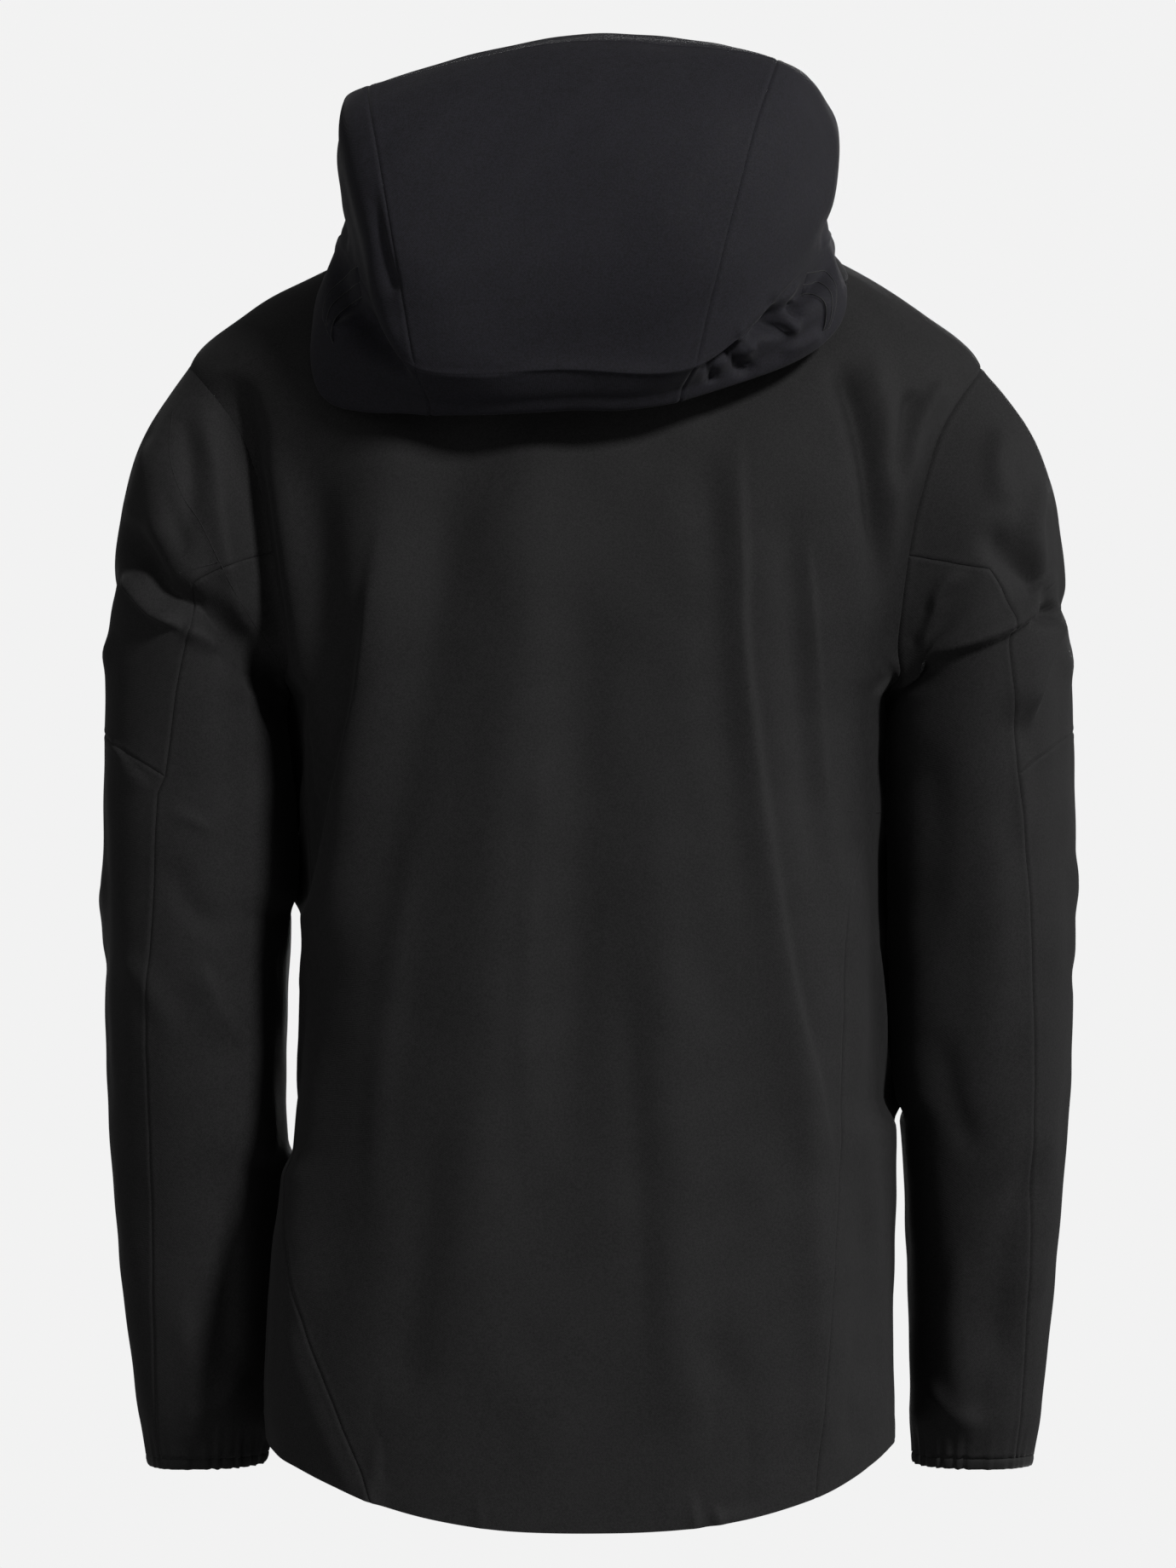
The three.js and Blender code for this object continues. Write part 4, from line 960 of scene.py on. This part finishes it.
def cloth_material(name, dark, light, roughness, sheen, pitch=0.0011, strength=0.5, specular=0.35):
    made, tree, shader = material(name, light, roughness, sheen=sheen, specular=specular)
    weave, coordinates = weave_height(tree, pitch)
    grain = noise(tree, coordinates, 900, 3, 0.6)
    patches = noise(tree, coordinates, 14, 4, 0.55)
    mottle = noise(tree, coordinates, 210, 4, 0.7)
    broad, middling = mapped(tree, patches, 0.3, 0.7, 0.1, 0.3), mapped(tree, mottle, 0.35, 0.65, 0, 0.35)
    blend = math_node(tree, "ADD", broad, middling)
    blend = math_node(tree, "ADD", blend, mapped(tree, grain, 0.38, 0.62, 0, 0.6))
    tinted(tree, shader, blend, dark, light)
    uneven = mapped(tree, mottle, 0.3, 0.7, roughness - 0.06, roughness + 0.08)
    tree.links.new(uneven, shader.inputs["Roughness"])
    height = math_node(tree, "ADD", math_node(tree, "MULTIPLY", weave, 0.5), grain)
    bump(tree, shader, height, strength, 0.00012)
    return made


def smooth_material(name, dark, light, roughness, scale=1400, strength=0.15, specular=0.4, **looks):
    made, tree, shader = material(name, light, roughness, specular=specular, **looks)
    coordinates = tree.nodes.new("ShaderNodeTexCoord").outputs["Object"]
    grain = noise(tree, coordinates, scale, 3, 0.6)
    wear = noise(tree, coordinates, 220, 4, 0.6)
    tinted(tree, shader, mapped(tree, wear, 0.35, 0.7, 0, 1), dark, light)
    uneven = mapped(tree, wear, 0.3, 0.7, roughness - 0.08, roughness + 0.1)
    tree.links.new(uneven, shader.inputs["Roughness"])
    bump(tree, shader, grain, strength, 0.0001)
    return made


def near_black(level, blue=0.001):
    """A dark grey, a little bluer by the given amount."""
    return (level, level, level + blue)


SHELL_DARK, SHELL_LIGHT = (0.0085, 0.0083, 0.0085), (0.0196, 0.0191, 0.0196)
# Painted shade: the hood's colours are the shell fabric's made a little darker, to offset the extra key light
# on the hood's upturned cloth. They are also a little bluer.
HOOD_SHADED_DARK, HOOD_SHADED_LIGHT = (0.0082, 0.0079, 0.0095), (0.0180, 0.0172, 0.0228)
PLAIN = (near_black(0.010), near_black(0.018))

SHELL = cloth_material("shell_face_fabric", SHELL_DARK, SHELL_LIGHT, 0.78, 0.05, specular=0.22)
# The hood's fabric: the shell's weave in the darker colours above, which carry painted shade.
HOOD_SHADED_FABRIC = cloth_material("hood_fabric_painted_shade", HOOD_SHADED_DARK, HOOD_SHADED_LIGHT, 0.78, 0.05, specular=0.22)
BACKER = cloth_material("inner_backer", near_black(0.018), near_black(0.030, 0.002), 0.85, 0.1, 0.0016)
TRICOT = cloth_material("brushed_tricot", near_black(0.020), near_black(0.034, 0.002), 0.92, 0.4, 0.0022)
BINDING = cloth_material("elastic_binding", near_black(0.006, 0), near_black(0.011, 0), 0.8, 0.15, 0.0008)
TAPE = smooth_material("zip_film", near_black(0.007), near_black(0.011), 0.6, scale=2600, specular=0.22)
METAL = smooth_material(
    "painted_zinc", near_black(0.012), near_black(0.022, 0.002), 0.34, metallic=0.5, coat=0.3
)
ACETAL = smooth_material("moulded_acetal", *PLAIN, 0.5, strength=0.25)
CORD = cloth_material("braided_cord", *PLAIN, 0.85, 0.2, 0.0007, strength=0.8)
THREAD = cloth_material("sewing_thread", near_black(0.010), near_black(0.020), 0.6, 0.1, 0.0005)

# ---------------------------------------------------------------- torso

# Rows of the torso's mesh: crowded at the hem, even up to the armhole, crowded again at both its ends.
END_ROWS = len(SEAM_STEPS)
LEAST_ROW = 0.002
LOW_ROWS = np.concatenate([crowded(150)[:END_ROWS] * 0.9, np.linspace(0.04, UNDERARM, round(500 / STEP))])
ARM_TURN = np.linspace(0, np.pi, round(260 / STEP))
ARM_ROWS = (UNDERARM + SHOULDER) / 2 - (SHOULDER - UNDERARM) / 2 * np.cos(ARM_TURN)
TOP_ROWS = np.linspace(SHOULDER, NECK, round(180 / STEP))
BOTTOM_TO_TOP = np.concatenate(
    [spaced(LOW_ROWS, LEAST_ROW), spaced(ARM_ROWS, LEAST_ROW)[1:], TOP_ROWS[1:]]
)


def back_panel():
    k = BOTTOM_TO_TOP[:, None]
    share = crowded(520)[None, :]
    left = panel_edge(k, SIDE_SEAM[1])
    right = np.pi - panel_edge(k, SIDE_SEAM[-1])
    theta = left + (right - left) * share
    return panel("back_panel", torso_cloth, torso, theta, k, SHELL, 1)


def side_panel(side):
    k = BOTTOM_TO_TOP[BOTTOM_TO_TOP <= UNDERARM][:, None]
    share = crowded(230)[None, :]
    front = -panel_edge(k, FRONT_SEAM)
    back = panel_edge(k, SIDE_SEAM[side])
    theta = front + (back - front) * share
    theta = theta if side > 0 else np.pi - theta
    return panel("side_panel_" + SIDE[side], torso_cloth, torso, theta, k, SHELL, side)


ZIP_HALF = 7.3  # half the width of a pocket's opening
ZIP_INSET = 7.176  # from the corner of a hand pocket zip's box to its middle line
BAND_CELLS = 6  # cells across the band of mesh that holds the pocket openings


def pocket_line(side):
    """Half widths of the pocket zips' middle line at each height, so that one band of mesh can hold them, and
    the heights of the hand pocket and of the chest pocket."""
    low, high = node_corners("hand_pocket_zip_" + SIDE[side])
    near, far = sorted((abs(low.x), abs(high.x)))
    outer, inner = far - ZIP_INSET, near + ZIP_INSET
    chest_low, chest_high = node_corners("chest_pocket_zip")
    chest = abs(chest_low.x + chest_high.x) / 2
    heights = [-760, low.z, high.z, chest_low.z, chest_high.z, 0]
    middles = [outer + 14, outer, inner, chest, chest, chest - 18]
    return heights, middles, (low.z, high.z), (chest_low.z, chest_high.z)


def front_panel(side):
    heights, middles, hand, chest = pocket_line(side)
    k = BOTTOM_TO_TOP[:, None]
    rings = along(TORSO, BOTTOM_TO_TOP)
    half_width, front_height = rings[:, :1], rings[:, 4:5]
    middle = np.minimum(np.interp(front_height, heights, middles), half_width * 0.8)
    start = front_angle(k, ZIP_EDGE)
    near = front_angle(k, middle - ZIP_HALF)
    far = front_angle(k, middle + ZIP_HALF)
    seam = panel_edge(k, FRONT_SEAM)
    stop = np.where(k < SHOULDER, -seam, seam)
    inside = start + (near - start) * crowded(70)
    band = near + (far - near) * np.linspace(0, 1, BAND_CELLS + 1)
    outside = far + (stop - far) * crowded(120)
    theta = np.concatenate([inside, band[:, 1:-1], outside], 1)
    theta = theta if side > 0 else -np.pi - theta
    in_band = np.zeros(theta.shape[1] - 1, bool)
    in_band[inside.shape[1] - 1 :][:BAND_CELLS] = True
    z = torso(theta, k)[..., 2]
    z_cell = (z[:-1, :-1] + z[1:, 1:]) / 2
    open_cell = np.zeros_like(z_cell, bool)
    for low, high in (hand, chest) if side > 0 else (hand,):
        open_cell |= in_band & (z_cell > low) & (z_cell < high)
    name = "front_panel_" + SIDE[side]
    return panel(name, torso_cloth, torso, theta, k, SHELL, side, keep=~open_cell)


panels = [back_panel()]
for side in SIDE:
    panels += [side_panel(side), front_panel(side)]

# ---------------------------------------------------------------- sleeves

CUFF_SEAM = 8.93
# The elastic binding's section, round the cuff's edge: rows down the sleeve, then depths under its surface.
BINDING_SECTION = [
    (8.925, 0.9), (8.935, 0.1), (8.96, -0.2), (8.99, 0), (9.01, 0.6), (9.01, 1.4), (8.98, 2.0), (8.94, 1.9),
]
UPPER_ROWS = spaced(np.concatenate([crowded(60)[:END_ROWS] * 0.9, ELBOW * crowded(290)]), 2 * LEAST_ROW)
FOREARM_ROWS = ELBOW + (CUFF_SEAM - ELBOW) * crowded(380, seam_at_end=False)
SLEEVE_ROWS = np.concatenate([UPPER_ROWS, FOREARM_ROWS[1:]])


def sleeve_panels(side):
    cloth = sleeve_cloth(side)
    made = []
    for name, rows, outer, width in (
        ("sleeve_under_", SLEEVE_ROWS, False, 170),
        ("sleeve_upper_", UPPER_ROWS, True, 240),
        ("sleeve_forearm_", FOREARM_ROWS, True, 240),
    ):
        v = rows[:, None]
        back, front = sleeve_seams(side, v)
        low, high = (front, back + 2 * np.pi) if outer else (back, front)
        phi = low + (high - low) * crowded(width)
        made.append(panel(name + SIDE[side], cloth, sleeve(side), phi, v, SHELL, -side))
    band = cuff_binding(side, cloth)
    sewn_to(made[-1], band)
    return [*made, band]


def cuff_binding(side, cloth):
    phi = np.linspace(0, 2 * np.pi, round(420 / min(STEP, 3)), endpoint=False)
    rings = np.stack([cloth(phi, place, depth) for place, depth in BINDING_SECTION])
    count = len(phi)
    faces = grid_faces(len(rings), count, flip=side > 0, closed=True)
    last = (len(rings) - 1) * count
    for j in range(count):
        quad = (last + j, last + (j + 1) % count, (j + 1) % count, j)
        faces.append(quad[::-1] if side > 0 else quad)
    name = "cuff_binding_" + SIDE[side]
    band = mesh_object(name + "_cloth", rings, faces, BINDING)
    return dress(band, replaces=[name], thick=0)


for side in SIDE:
    panels += sleeve_panels(side)

# ---------------------------------------------------------------- collar and hood


def collar_ring():
    start = float(front_angle(np.array(NECK), np.array(ZIP_EDGE)))
    theta = start + (np.pi - 2 * start) * crowded(480)[None, :]
    h = (0.005 + 0.995 * crowded(62))[:, None]
    return panel("collar", collar_cloth, collar, theta, h, SHELL, 1, thick=1.8)


HOOD_FINE = 0.8  # size of the hood's squares, next to the rest's
LEAST_HOOD_ROW = 0.008
CREASE_ROWS = np.concatenate([np.linspace(-0.55, -0.06, 14), np.linspace(-0.04, 0.12, 7)])


def hood_rows(low, high, length):
    """Rows from low to high, closer together round the crease."""
    rows = low + (high - low) * crowded(length / HOOD_FINE)
    if low > HOOD_CREASE:
        return rows
    rows = np.concatenate([rows, HOOD_CREASE + CREASE_ROWS, [HOOD_CREASE]])
    below = spaced(rows[rows <= HOOD_CREASE], LEAST_HOOD_ROW)
    above = spaced(rows[rows >= HOOD_CREASE], LEAST_HOOD_ROW)
    return np.append(below, above[1:])


def hood_panels():
    centre = -1 + 2 * crowded(230 / HOOD_FINE)
    front = 1 + 4 * crowded(300 / HOOD_FINE, seam_at_end=False)
    whole = hood_rows(0, HOOD_TOP, 360)
    made = []
    for name, u, w, side, thick in (
        ("hood_centre_panel", centre, hood_rows(0, BRIM_FROM, 460), 1, CLOTH),
        ("hood_brim", centre, hood_rows(BRIM_FROM, HOOD_TOP, 40), 1, 2.4),
        ("hood_side_left", front, whole, 1, 1.2),
        ("hood_side_right", -front, whole, -1, 1.2),
    ):
        made.append(panel(name, hood_cloth, hood, u, w[:, None], HOOD_SHADED_FABRIC, -side, thick))
    return made


hood_pieces = hood_panels()
panels += [collar_ring(), *hood_pieces]

# ---------------------------------------------------------------- pieces inside: facings, tapes, flaps, bags

FACING_FROM = HEM_LOCK_ANGLE + 6 * DEG
FACING_ROWS = np.linspace(0.035, 0.325, 22)[:, None]
FACING_DEPTH = ([0.035, 0.1, 0.25, 0.325], [1.4, 5.4, 5.4, 1.4])  # heights, and depths inside the shell
CORD_ROW, CORD_DEPTH, CORD_RADIUS = 0.18, 3.4, 1.1
TAPE_HALF = 3 * DEG
TUNNEL_TO, TUNNEL_DEPTH, TUNNEL_RISE = 7.92, 1.5, 1.4
BACKING_DEPTH = 5.6  # from the front's line to the storm flap behind it
BAG_DEPTH, BAG_BELLY = 9.6, 1.4
HAND_BAG = ((0.55, 2.95), (34, 150))  # rings from foot to top, half widths from inner to outer edge
CHEST_BAG = ((4.2, 7.2), (32, 108))


def under(depth):
    """The torso's cloth, this far inside its surface."""
    return lambda theta, k: torso_cloth(theta, k, depth)


def tube(name, path, radius, finish, squash=1.0):
    """A round cord or rolled tape along a path."""
    path = np.asarray(path, float)
    direction = unit(np.gradient(path, axis=0))
    side = unit(np.cross(direction, np.array([0, 0, 1.0]) + 0.01 * direction[:, [1, 2, 0]]))
    up = np.cross(side, direction)
    turn = np.linspace(0, 2 * np.pi, 14, endpoint=False)[None, :, None]
    rings = path[:, None] + radius * (np.cos(turn) * side[:, None] + squash * np.sin(turn) * up[:, None])
    count, sides = rings.shape[:2]
    faces = grid_faces(count, sides, closed=True)
    faces.append(tuple(reversed(range(sides))))
    faces.append(tuple(range((count - 1) * sides, count * sides)))
    made = mesh_object(name + "_cloth", rings, faces, finish)
    return dress(made, replaces=[name], thick=0)


def hem_pieces():
    theta = np.linspace(FACING_FROM, np.pi - FACING_FROM, round(900 / STEP))[None, :]
    inside = under(np.interp(FACING_ROWS, *FACING_DEPTH))
    facing = strip("hem_facing", inside, theta, FACING_ROWS, BINDING, 1, thick=0.6)
    around = np.linspace(HEM_LOCK_ANGLE + 3 * DEG, np.pi - HEM_LOCK_ANGLE - 3 * DEG, 300)
    path = torso_cloth(around, CORD_ROW, CORD_DEPTH)
    cord = tube("hem_drawcord", path, CORD_RADIUS, CORD)
    return [facing, cord]


def seam_tape(side):
    """Waterproof tape over the inside of a back side seam."""
    k = np.linspace(0.4, 3.3, round(330 / STEP))[:, None]
    edge = panel_edge(k, SIDE_SEAM[side])
    theta = edge + TAPE_HALF * np.linspace(-1, 1, 9)[None, :]
    theta = theta if side > 0 else np.pi - theta
    name = "seam_tape_" + SIDE[side]
    return strip(name, under(CLOTH + 0.3), theta, k, BINDING, side, thick=0.3)


def neck_facing():
    k = np.linspace(10.2, 10.97, 16)[:, None]
    theta = np.linspace(55, 125, 60)[None, :] * DEG
    return strip("neck_facing", under(CLOTH + 1.2), theta, k, TRICOT, 1)


def hood_tunnel(side):
    """The drawcord's tunnel, inside the edge of the hood's opening."""
    share = fine(14)[:, None]
    w = BRIM_FROM + (TUNNEL_TO - BRIM_FROM) * share
    u = side * np.linspace(1.08, 3.6, round(300 / STEP))[None, :]
    rise = TUNNEL_RISE * np.sin(np.pi * share)

    def tunnel_cloth(u, w):
        return hood_cloth(u, w, TUNNEL_DEPTH + rise)

    name = "hood_edge_tunnel_" + SIDE[side]
    return strip(name, tunnel_cloth, u, w, BINDING, -side, thick=0.5)


def zip_backing(name, half):
    """The storm flap or chin guard: a strip of soft cloth standing behind the front zip."""
    low, high = node_corners(name)
    across = np.linspace(-half, half, 15)[None, :]
    z = np.linspace(low.z, high.z, round((high.z - low.z) / 4))[:, None]

    def surface(x, z):
        x, z = np.broadcast_arrays(x, z)
        return np.stack([x, BACKING_DEPTH - (FRONT_Y - FRONT_LEAN * z), z], -1)

    def cloth(x, z):
        points = surface(x, z)
        points[..., 1] += waves(points, 41, 60, 0.35)
        return points

    cut(strip(name, cloth, across, z, TRICOT, 1, thick=1.1), surface, across, z)


def pocket_bag(name, side, rows, half_widths):
    k = np.linspace(*rows, round((rows[1] - rows[0]) * 100 / STEP))[:, None]
    x = np.linspace(*half_widths, round((half_widths[1] - half_widths[0]) / STEP))[None, :]
    theta = front_angle(k, x)
    theta = theta if side > 0 else -np.pi - theta
    belly = BAG_BELLY * np.sin(np.pi * (x - x.min()) / np.ptp(x))

    def bag_cloth(theta, k):
        points = torso(theta, k)
        normals = normals_of(torso, theta, k, 1)
        return points - normals * (BAG_DEPTH + belly + waves(points, 43, 50, 0.5))[..., None]

    cut(strip(name, bag_cloth, theta, k, TRICOT, side, thick=1.0), torso, theta, k)


LOOP_RADIUS = 1.6


def hanger_loop():
    """A rolled tape sewn in at the back neck seam."""
    low, high = node_corners("hanger_loop")
    half = (high.x - low.x) / 2 - LOOP_RADIUS
    top, foot = high.z - LOOP_RADIUS, low.z + 0.3
    shape = [(-1, 0), (-0.97, 0.45), (-0.6, 0.96), (0, 1), (0.6, 0.96), (0.97, 0.45), (1, 0)]
    middle = (low.y + high.y) / 2
    path = smooth_path([(a * half, middle, foot + b * (top - foot)) for a, b in shape], 12)
    return tube("hanger_loop", path, LOOP_RADIUS, BINDING, 0.8)


back_cloth = panels[0]
sewn_to(back_cloth, *hem_pieces(), seam_tape(1), seam_tape(-1), neck_facing(), hanger_loop())
hood_side = dict(zip(SIDE, hood_pieces[2:]))
for side in SIDE:
    sewn_to(hood_side[side], hood_tunnel(side))
zip_backing("storm_flap", 19)
zip_backing("chin_guard", 17)
for side in SIDE:
    pocket_bag("hand_pocket_bag_" + SIDE[side], side, *HAND_BAG)
pocket_bag("chest_pocket_bag", 1, *CHEST_BAG)

# ---------------------------------------------------------------- seams and hems drawn on the cloth


def surface_of(pieces):
    """A tree of the finished faces of some pieces, in metres."""
    graph = bpy.context.evaluated_depsgraph_get()
    points, faces = [], []
    for piece in pieces:
        mesh = piece.evaluated_get(graph).to_mesh()
        start = len(points)
        points += [piece.matrix_world @ v.co for v in mesh.vertices]
        faces += [[start + i for i in polygon.vertices] for polygon in mesh.polygons]
    return bvhtree.BVHTree.FromPolygons(points, faces)


def onto(tree, points, view):
    """Points of a view, (across, up), put on the surface; returns places and normals in millimetres."""
    across, up, depth, sign = VIEWS[view]
    look = Vector((0, 0, 0))
    look[depth] = -sign
    places, normals = [], []
    for p in points:
        start = Vector((0, 0, 0))
        start[across], start[up], start[depth] = p[0], p[1], sign * 600
        start = Vector(to_metres(start))
        hit, normal, _, _ = tree.ray_cast(start, look)
        if hit is None:
            hit, normal, _, _ = tree.find_nearest(start + look * 0.5)
        if normal.dot(look) > 0:
            normal = -normal
        places.append(np.array(hit) / MM - np.array([0, BODY_Y, 0]))
        normals.append(np.array(normal))
    return np.array(places), np.array(normals)


BODY_THREAD = (0.42, 0.2)  # half width and height of a line of stitching
HEM_THREAD = (0.4, 0.3)
STITCH_STEP = 2.2


def smoothed(values, rounds):
    for _ in range(rounds):
        values = np.concatenate([values[:1], (values[:-2] + 2 * values[1:-1] + values[2:]) / 4, values[-1:]])
    return values


def thread_line(places, normals, wide, high):
    """Points and faces of a flat bead of stitching lying on the cloth."""
    places, normals = smoothed(places, 2), unit(smoothed(normals, 4))
    along_line = unit(np.gradient(places, axis=0))
    across = unit(np.cross(along_line, normals))
    outline = [(-1, -0.6), (-0.7, 0.7), (0, 1), (0.7, 0.7), (1, -0.6)]
    rings = [places + across * (a * wide) + normals * (h * high) for a, h in outline]
    points = np.stack(rings, 1)
    count, sides = points.shape[:2]
    faces = grid_faces(count, sides, closed=True)
    faces.append(tuple(range(sides)))
    faces.append(tuple(reversed(range((count - 1) * sides, count * sides))))
    return points.reshape(-1, 3), faces


def stitching(name, tree, paths, finish):
    """Lines of stitching on the back, along paths of (x, z)."""
    lines = []
    for path in paths:
        line = smooth_path(path, 12)
        length = np.concatenate([[0], np.cumsum(np.linalg.norm(np.diff(line, axis=0), axis=1))])
        evenly = np.linspace(0, length[-1], max(4, round(length[-1] / STITCH_STEP)))
        line = np.stack([np.interp(evenly, length, line[:, i]) for i in range(2)], -1)
        lines.append(thread_line(*onto(tree, line, "back"), *BODY_THREAD))
    return dress(mesh_object(name, *joined(lines), finish), thick=0)


body_surface = surface_of([o for o in panels if "hood" not in o.name and "collar" not in o.name])
BODY_SEAMS = [
    [(251, -104), (251, -132), (243, -156), (232, -172), (221, -194), (211, -214), (196, -240), (184, -258)],
    [(221, -197), (233, -200), (244, -203)],
    [(-147, -344), (-163, -346), (-178, -346)],
]
sewn_to(back_cloth, stitching("back_seam_stitching", body_surface, BODY_SEAMS, SHELL))

# The outer and inner edge of the hood opening's hem, as (x, z).
HOOD_HEM = {
    1: (
        [(136, -21), (145.4, -27.8), (153.6, -36), (155.6, -44), (156, -56)],
        [(133, -42), (140.5, -47.2), (147, -53.1), (150, -60), (150.5, -70)],
    ),
    -1: (
        [(-130, -25), (-138, -21.5), (-144, -27), (-146, -36.2), (-142.6, -60)],
        [(-125, -41), (-132, -41.5), (-138, -44.7), (-139.6, -51), (-138.6, -62)],
    ),
}
HEM_SHARES = np.array([0, 0.03, 0.08, 0.16, 0.28, 0.4, 0.52, 0.64, 0.76, 0.86, 0.93, 0.98, 1])
STITCHED_ROWS = (2, 6, 10)
HEM_HIGH, HEM_SUNK, HEM_LEAN = 2.4, 0.8, 1.6


def hood_hem(side, tree):
    """The stitched hem of the hood's opening, where it shows behind the shoulder under the crease."""
    outer, inner = (smooth_path(edge, 10) for edge in HOOD_HEM[side])
    shares = HEM_SHARES[:, None]
    flat = outer + (inner - outer) * shares[..., None]
    places, normals = onto(tree, flat.reshape(-1, 2), "back")
    places = places.reshape(flat.shape[:2] + (3,))
    normals = normals.reshape(places.shape)
    for _ in range(3):
        places[:, 1:-1] = (places[:, :-2] + 2 * places[:, 1:-1] + places[:, 2:]) / 4
        normals[:, 1:-1] = unit(normals[:, :-2] + 2 * normals[:, 1:-1] + normals[:, 2:])
    rise = np.clip(1 - np.abs(2 * shares - 1) ** 6, 0, 1) ** 0.5
    ends = np.clip(np.minimum(np.arange(len(outer)), np.arange(len(outer))[::-1]) / 4, 0, 1) ** 0.5
    places = places + normals * (HEM_HIGH * rise * ends - HEM_SUNK)[..., None]
    places[..., 0] += side * HEM_LEAN * (1 - shares) * rise * ends
    faces = grid_faces(*places.shape[:2], flip=side < 0)
    # The hem is in the hood's fabric, whose darker colour is painted shade.
    hem = mesh_object("hood_opening_hem_" + SIDE[side], places, faces, HOOD_SHADED_FABRIC)
    dress(hem, thick=1.6)
    raised = places + 0.12 * normals
    lines = (thread_line(raised[row], normals[row], *HEM_THREAD) for row in STITCHED_ROWS)
    stitches = mesh_object("hood_hem_stitching_" + SIDE[side], *joined(lines), THREAD)
    dress(stitches, thick=0)
    sewn_to(hood_side[side], hem, stitches)


hood_surface = surface_of([o for o in panels if "hood_side" in o.name])
for side in SIDE:
    hood_hem(side, hood_surface)

# ---------------------------------------------------------------- lights, camera, floor

CAMERA_Y = 3500  # from the body's axis
CAMERA_Z = -329  # the middle of the picture
PICTURE = (1380, 1840)
MM_PER_PIXEL = 0.52
SENSOR = 36

camera_data = bpy.data.cameras.new("camera")
camera_data.sensor_fit = "VERTICAL"
camera_data.sensor_height = SENSOR
camera_data.lens = SENSOR * CAMERA_Y / (PICTURE[1] * MM_PER_PIXEL)
camera_data.clip_end = 100
camera = bpy.data.objects.new("camera", camera_data)
bpy.context.scene.collection.objects.link(camera)
camera.location = Vector(to_metres((0, CAMERA_Y, CAMERA_Z)))
camera.rotation_euler = (math.pi / 2, 0, math.pi)
bpy.context.scene.camera = camera


def light(kind, name, place, target, power):
    data = bpy.data.lights.new(name, kind)
    data.energy = power
    made = bpy.data.objects.new(name, data)
    bpy.context.scene.collection.objects.link(made)
    made.location = place
    made.rotation_euler = (Vector(target) - Vector(place)).to_track_quat("-Z", "Y").to_euler()
    return data


def area_light(name, place, target, size, power):
    data = light("AREA", name, place, target, power)
    data.shape = "DISK"
    data.size = size


def sun(name, azimuth, elevation, angle, strength):
    """A far light; azimuth is 0 behind the wearer and grows towards the wearer's right."""
    level = math.cos(elevation * DEG)
    place = (-math.sin(azimuth * DEG) * level, math.cos(azimuth * DEG) * level, math.sin(elevation * DEG))
    light("SUN", name, place, (0, 0, 0), strength).angle = angle * DEG


MIDDLE = (0, 0, -0.33)
sun("key", 40, 32, 10, 2.3)
area_light("rim", (-3.2, -0.4, 0.2), MIDDLE, 1.4, 26)
area_light("fill", (1.9, 2.8, -1.5), (0, 0, -0.5), 2.0, 15)
area_light("top", (-0.6, 0.9, 2.8), MIDDLE, 1.6, 5)
area_light("front", (-0.5, -3.6, 0.6), MIDDLE, 1.6, 60)
area_light("front_fill", (0.9, -3.4, -0.3), MIDDLE, 2.0, 6)

world = bpy.data.worlds.new("studio")
bpy.context.scene.world = world
world.use_nodes = True
world.node_tree.nodes["Background"].inputs["Color"].default_value = (1, 1, 1, 1)
world.node_tree.nodes["Background"].inputs["Strength"].default_value = 0.1
bpy.context.scene.view_settings.view_transform = "Standard"

PALE = 0.8879  # the studio's even grey-white
SWEEP_RADIUS = 9.0
FLOOR_Z = -1.35


def studio():
    """A pale floor that curves up into an even surround; it is seen, but throws no light on the jacket."""
    paper, _, shader = material("studio_paper", (0, 0, 0), 1.0, specular=0)
    shader.inputs["Emission Color"].default_value = (PALE, PALE, PALE, 1)
    shader.inputs["Emission Strength"].default_value = 1
    turns, levels = 48, 24
    points = []
    for i in range(levels + 1):
        lift = math.pi * i / levels
        z = max(FLOOR_Z, -SWEEP_RADIUS * math.cos(lift))
        radius = SWEEP_RADIUS * math.sin(lift)
        for j in range(turns):
            angle = 2 * math.pi * j / turns
            points.append((radius * math.cos(angle) / MM, radius * math.sin(angle) / MM - BODY_Y, z / MM))
    faces = grid_faces(levels + 1, turns, flip=True, closed=True)
    sweep = mesh_object("studio_floor", points, faces, paper)
    sweep.visible_diffuse = False
    sweep.visible_glossy = False
    sweep.visible_shadow = False


studio()

for name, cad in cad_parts.items():
    if cad.hide_render:
        continue
    finish = ACETAL
    if "slider" in name:
        finish = METAL
    elif "zip_tape" in name or "pocket_zip" in name:
        finish = TAPE
    cad.data.materials.clear()
    cad.data.materials.append(finish)

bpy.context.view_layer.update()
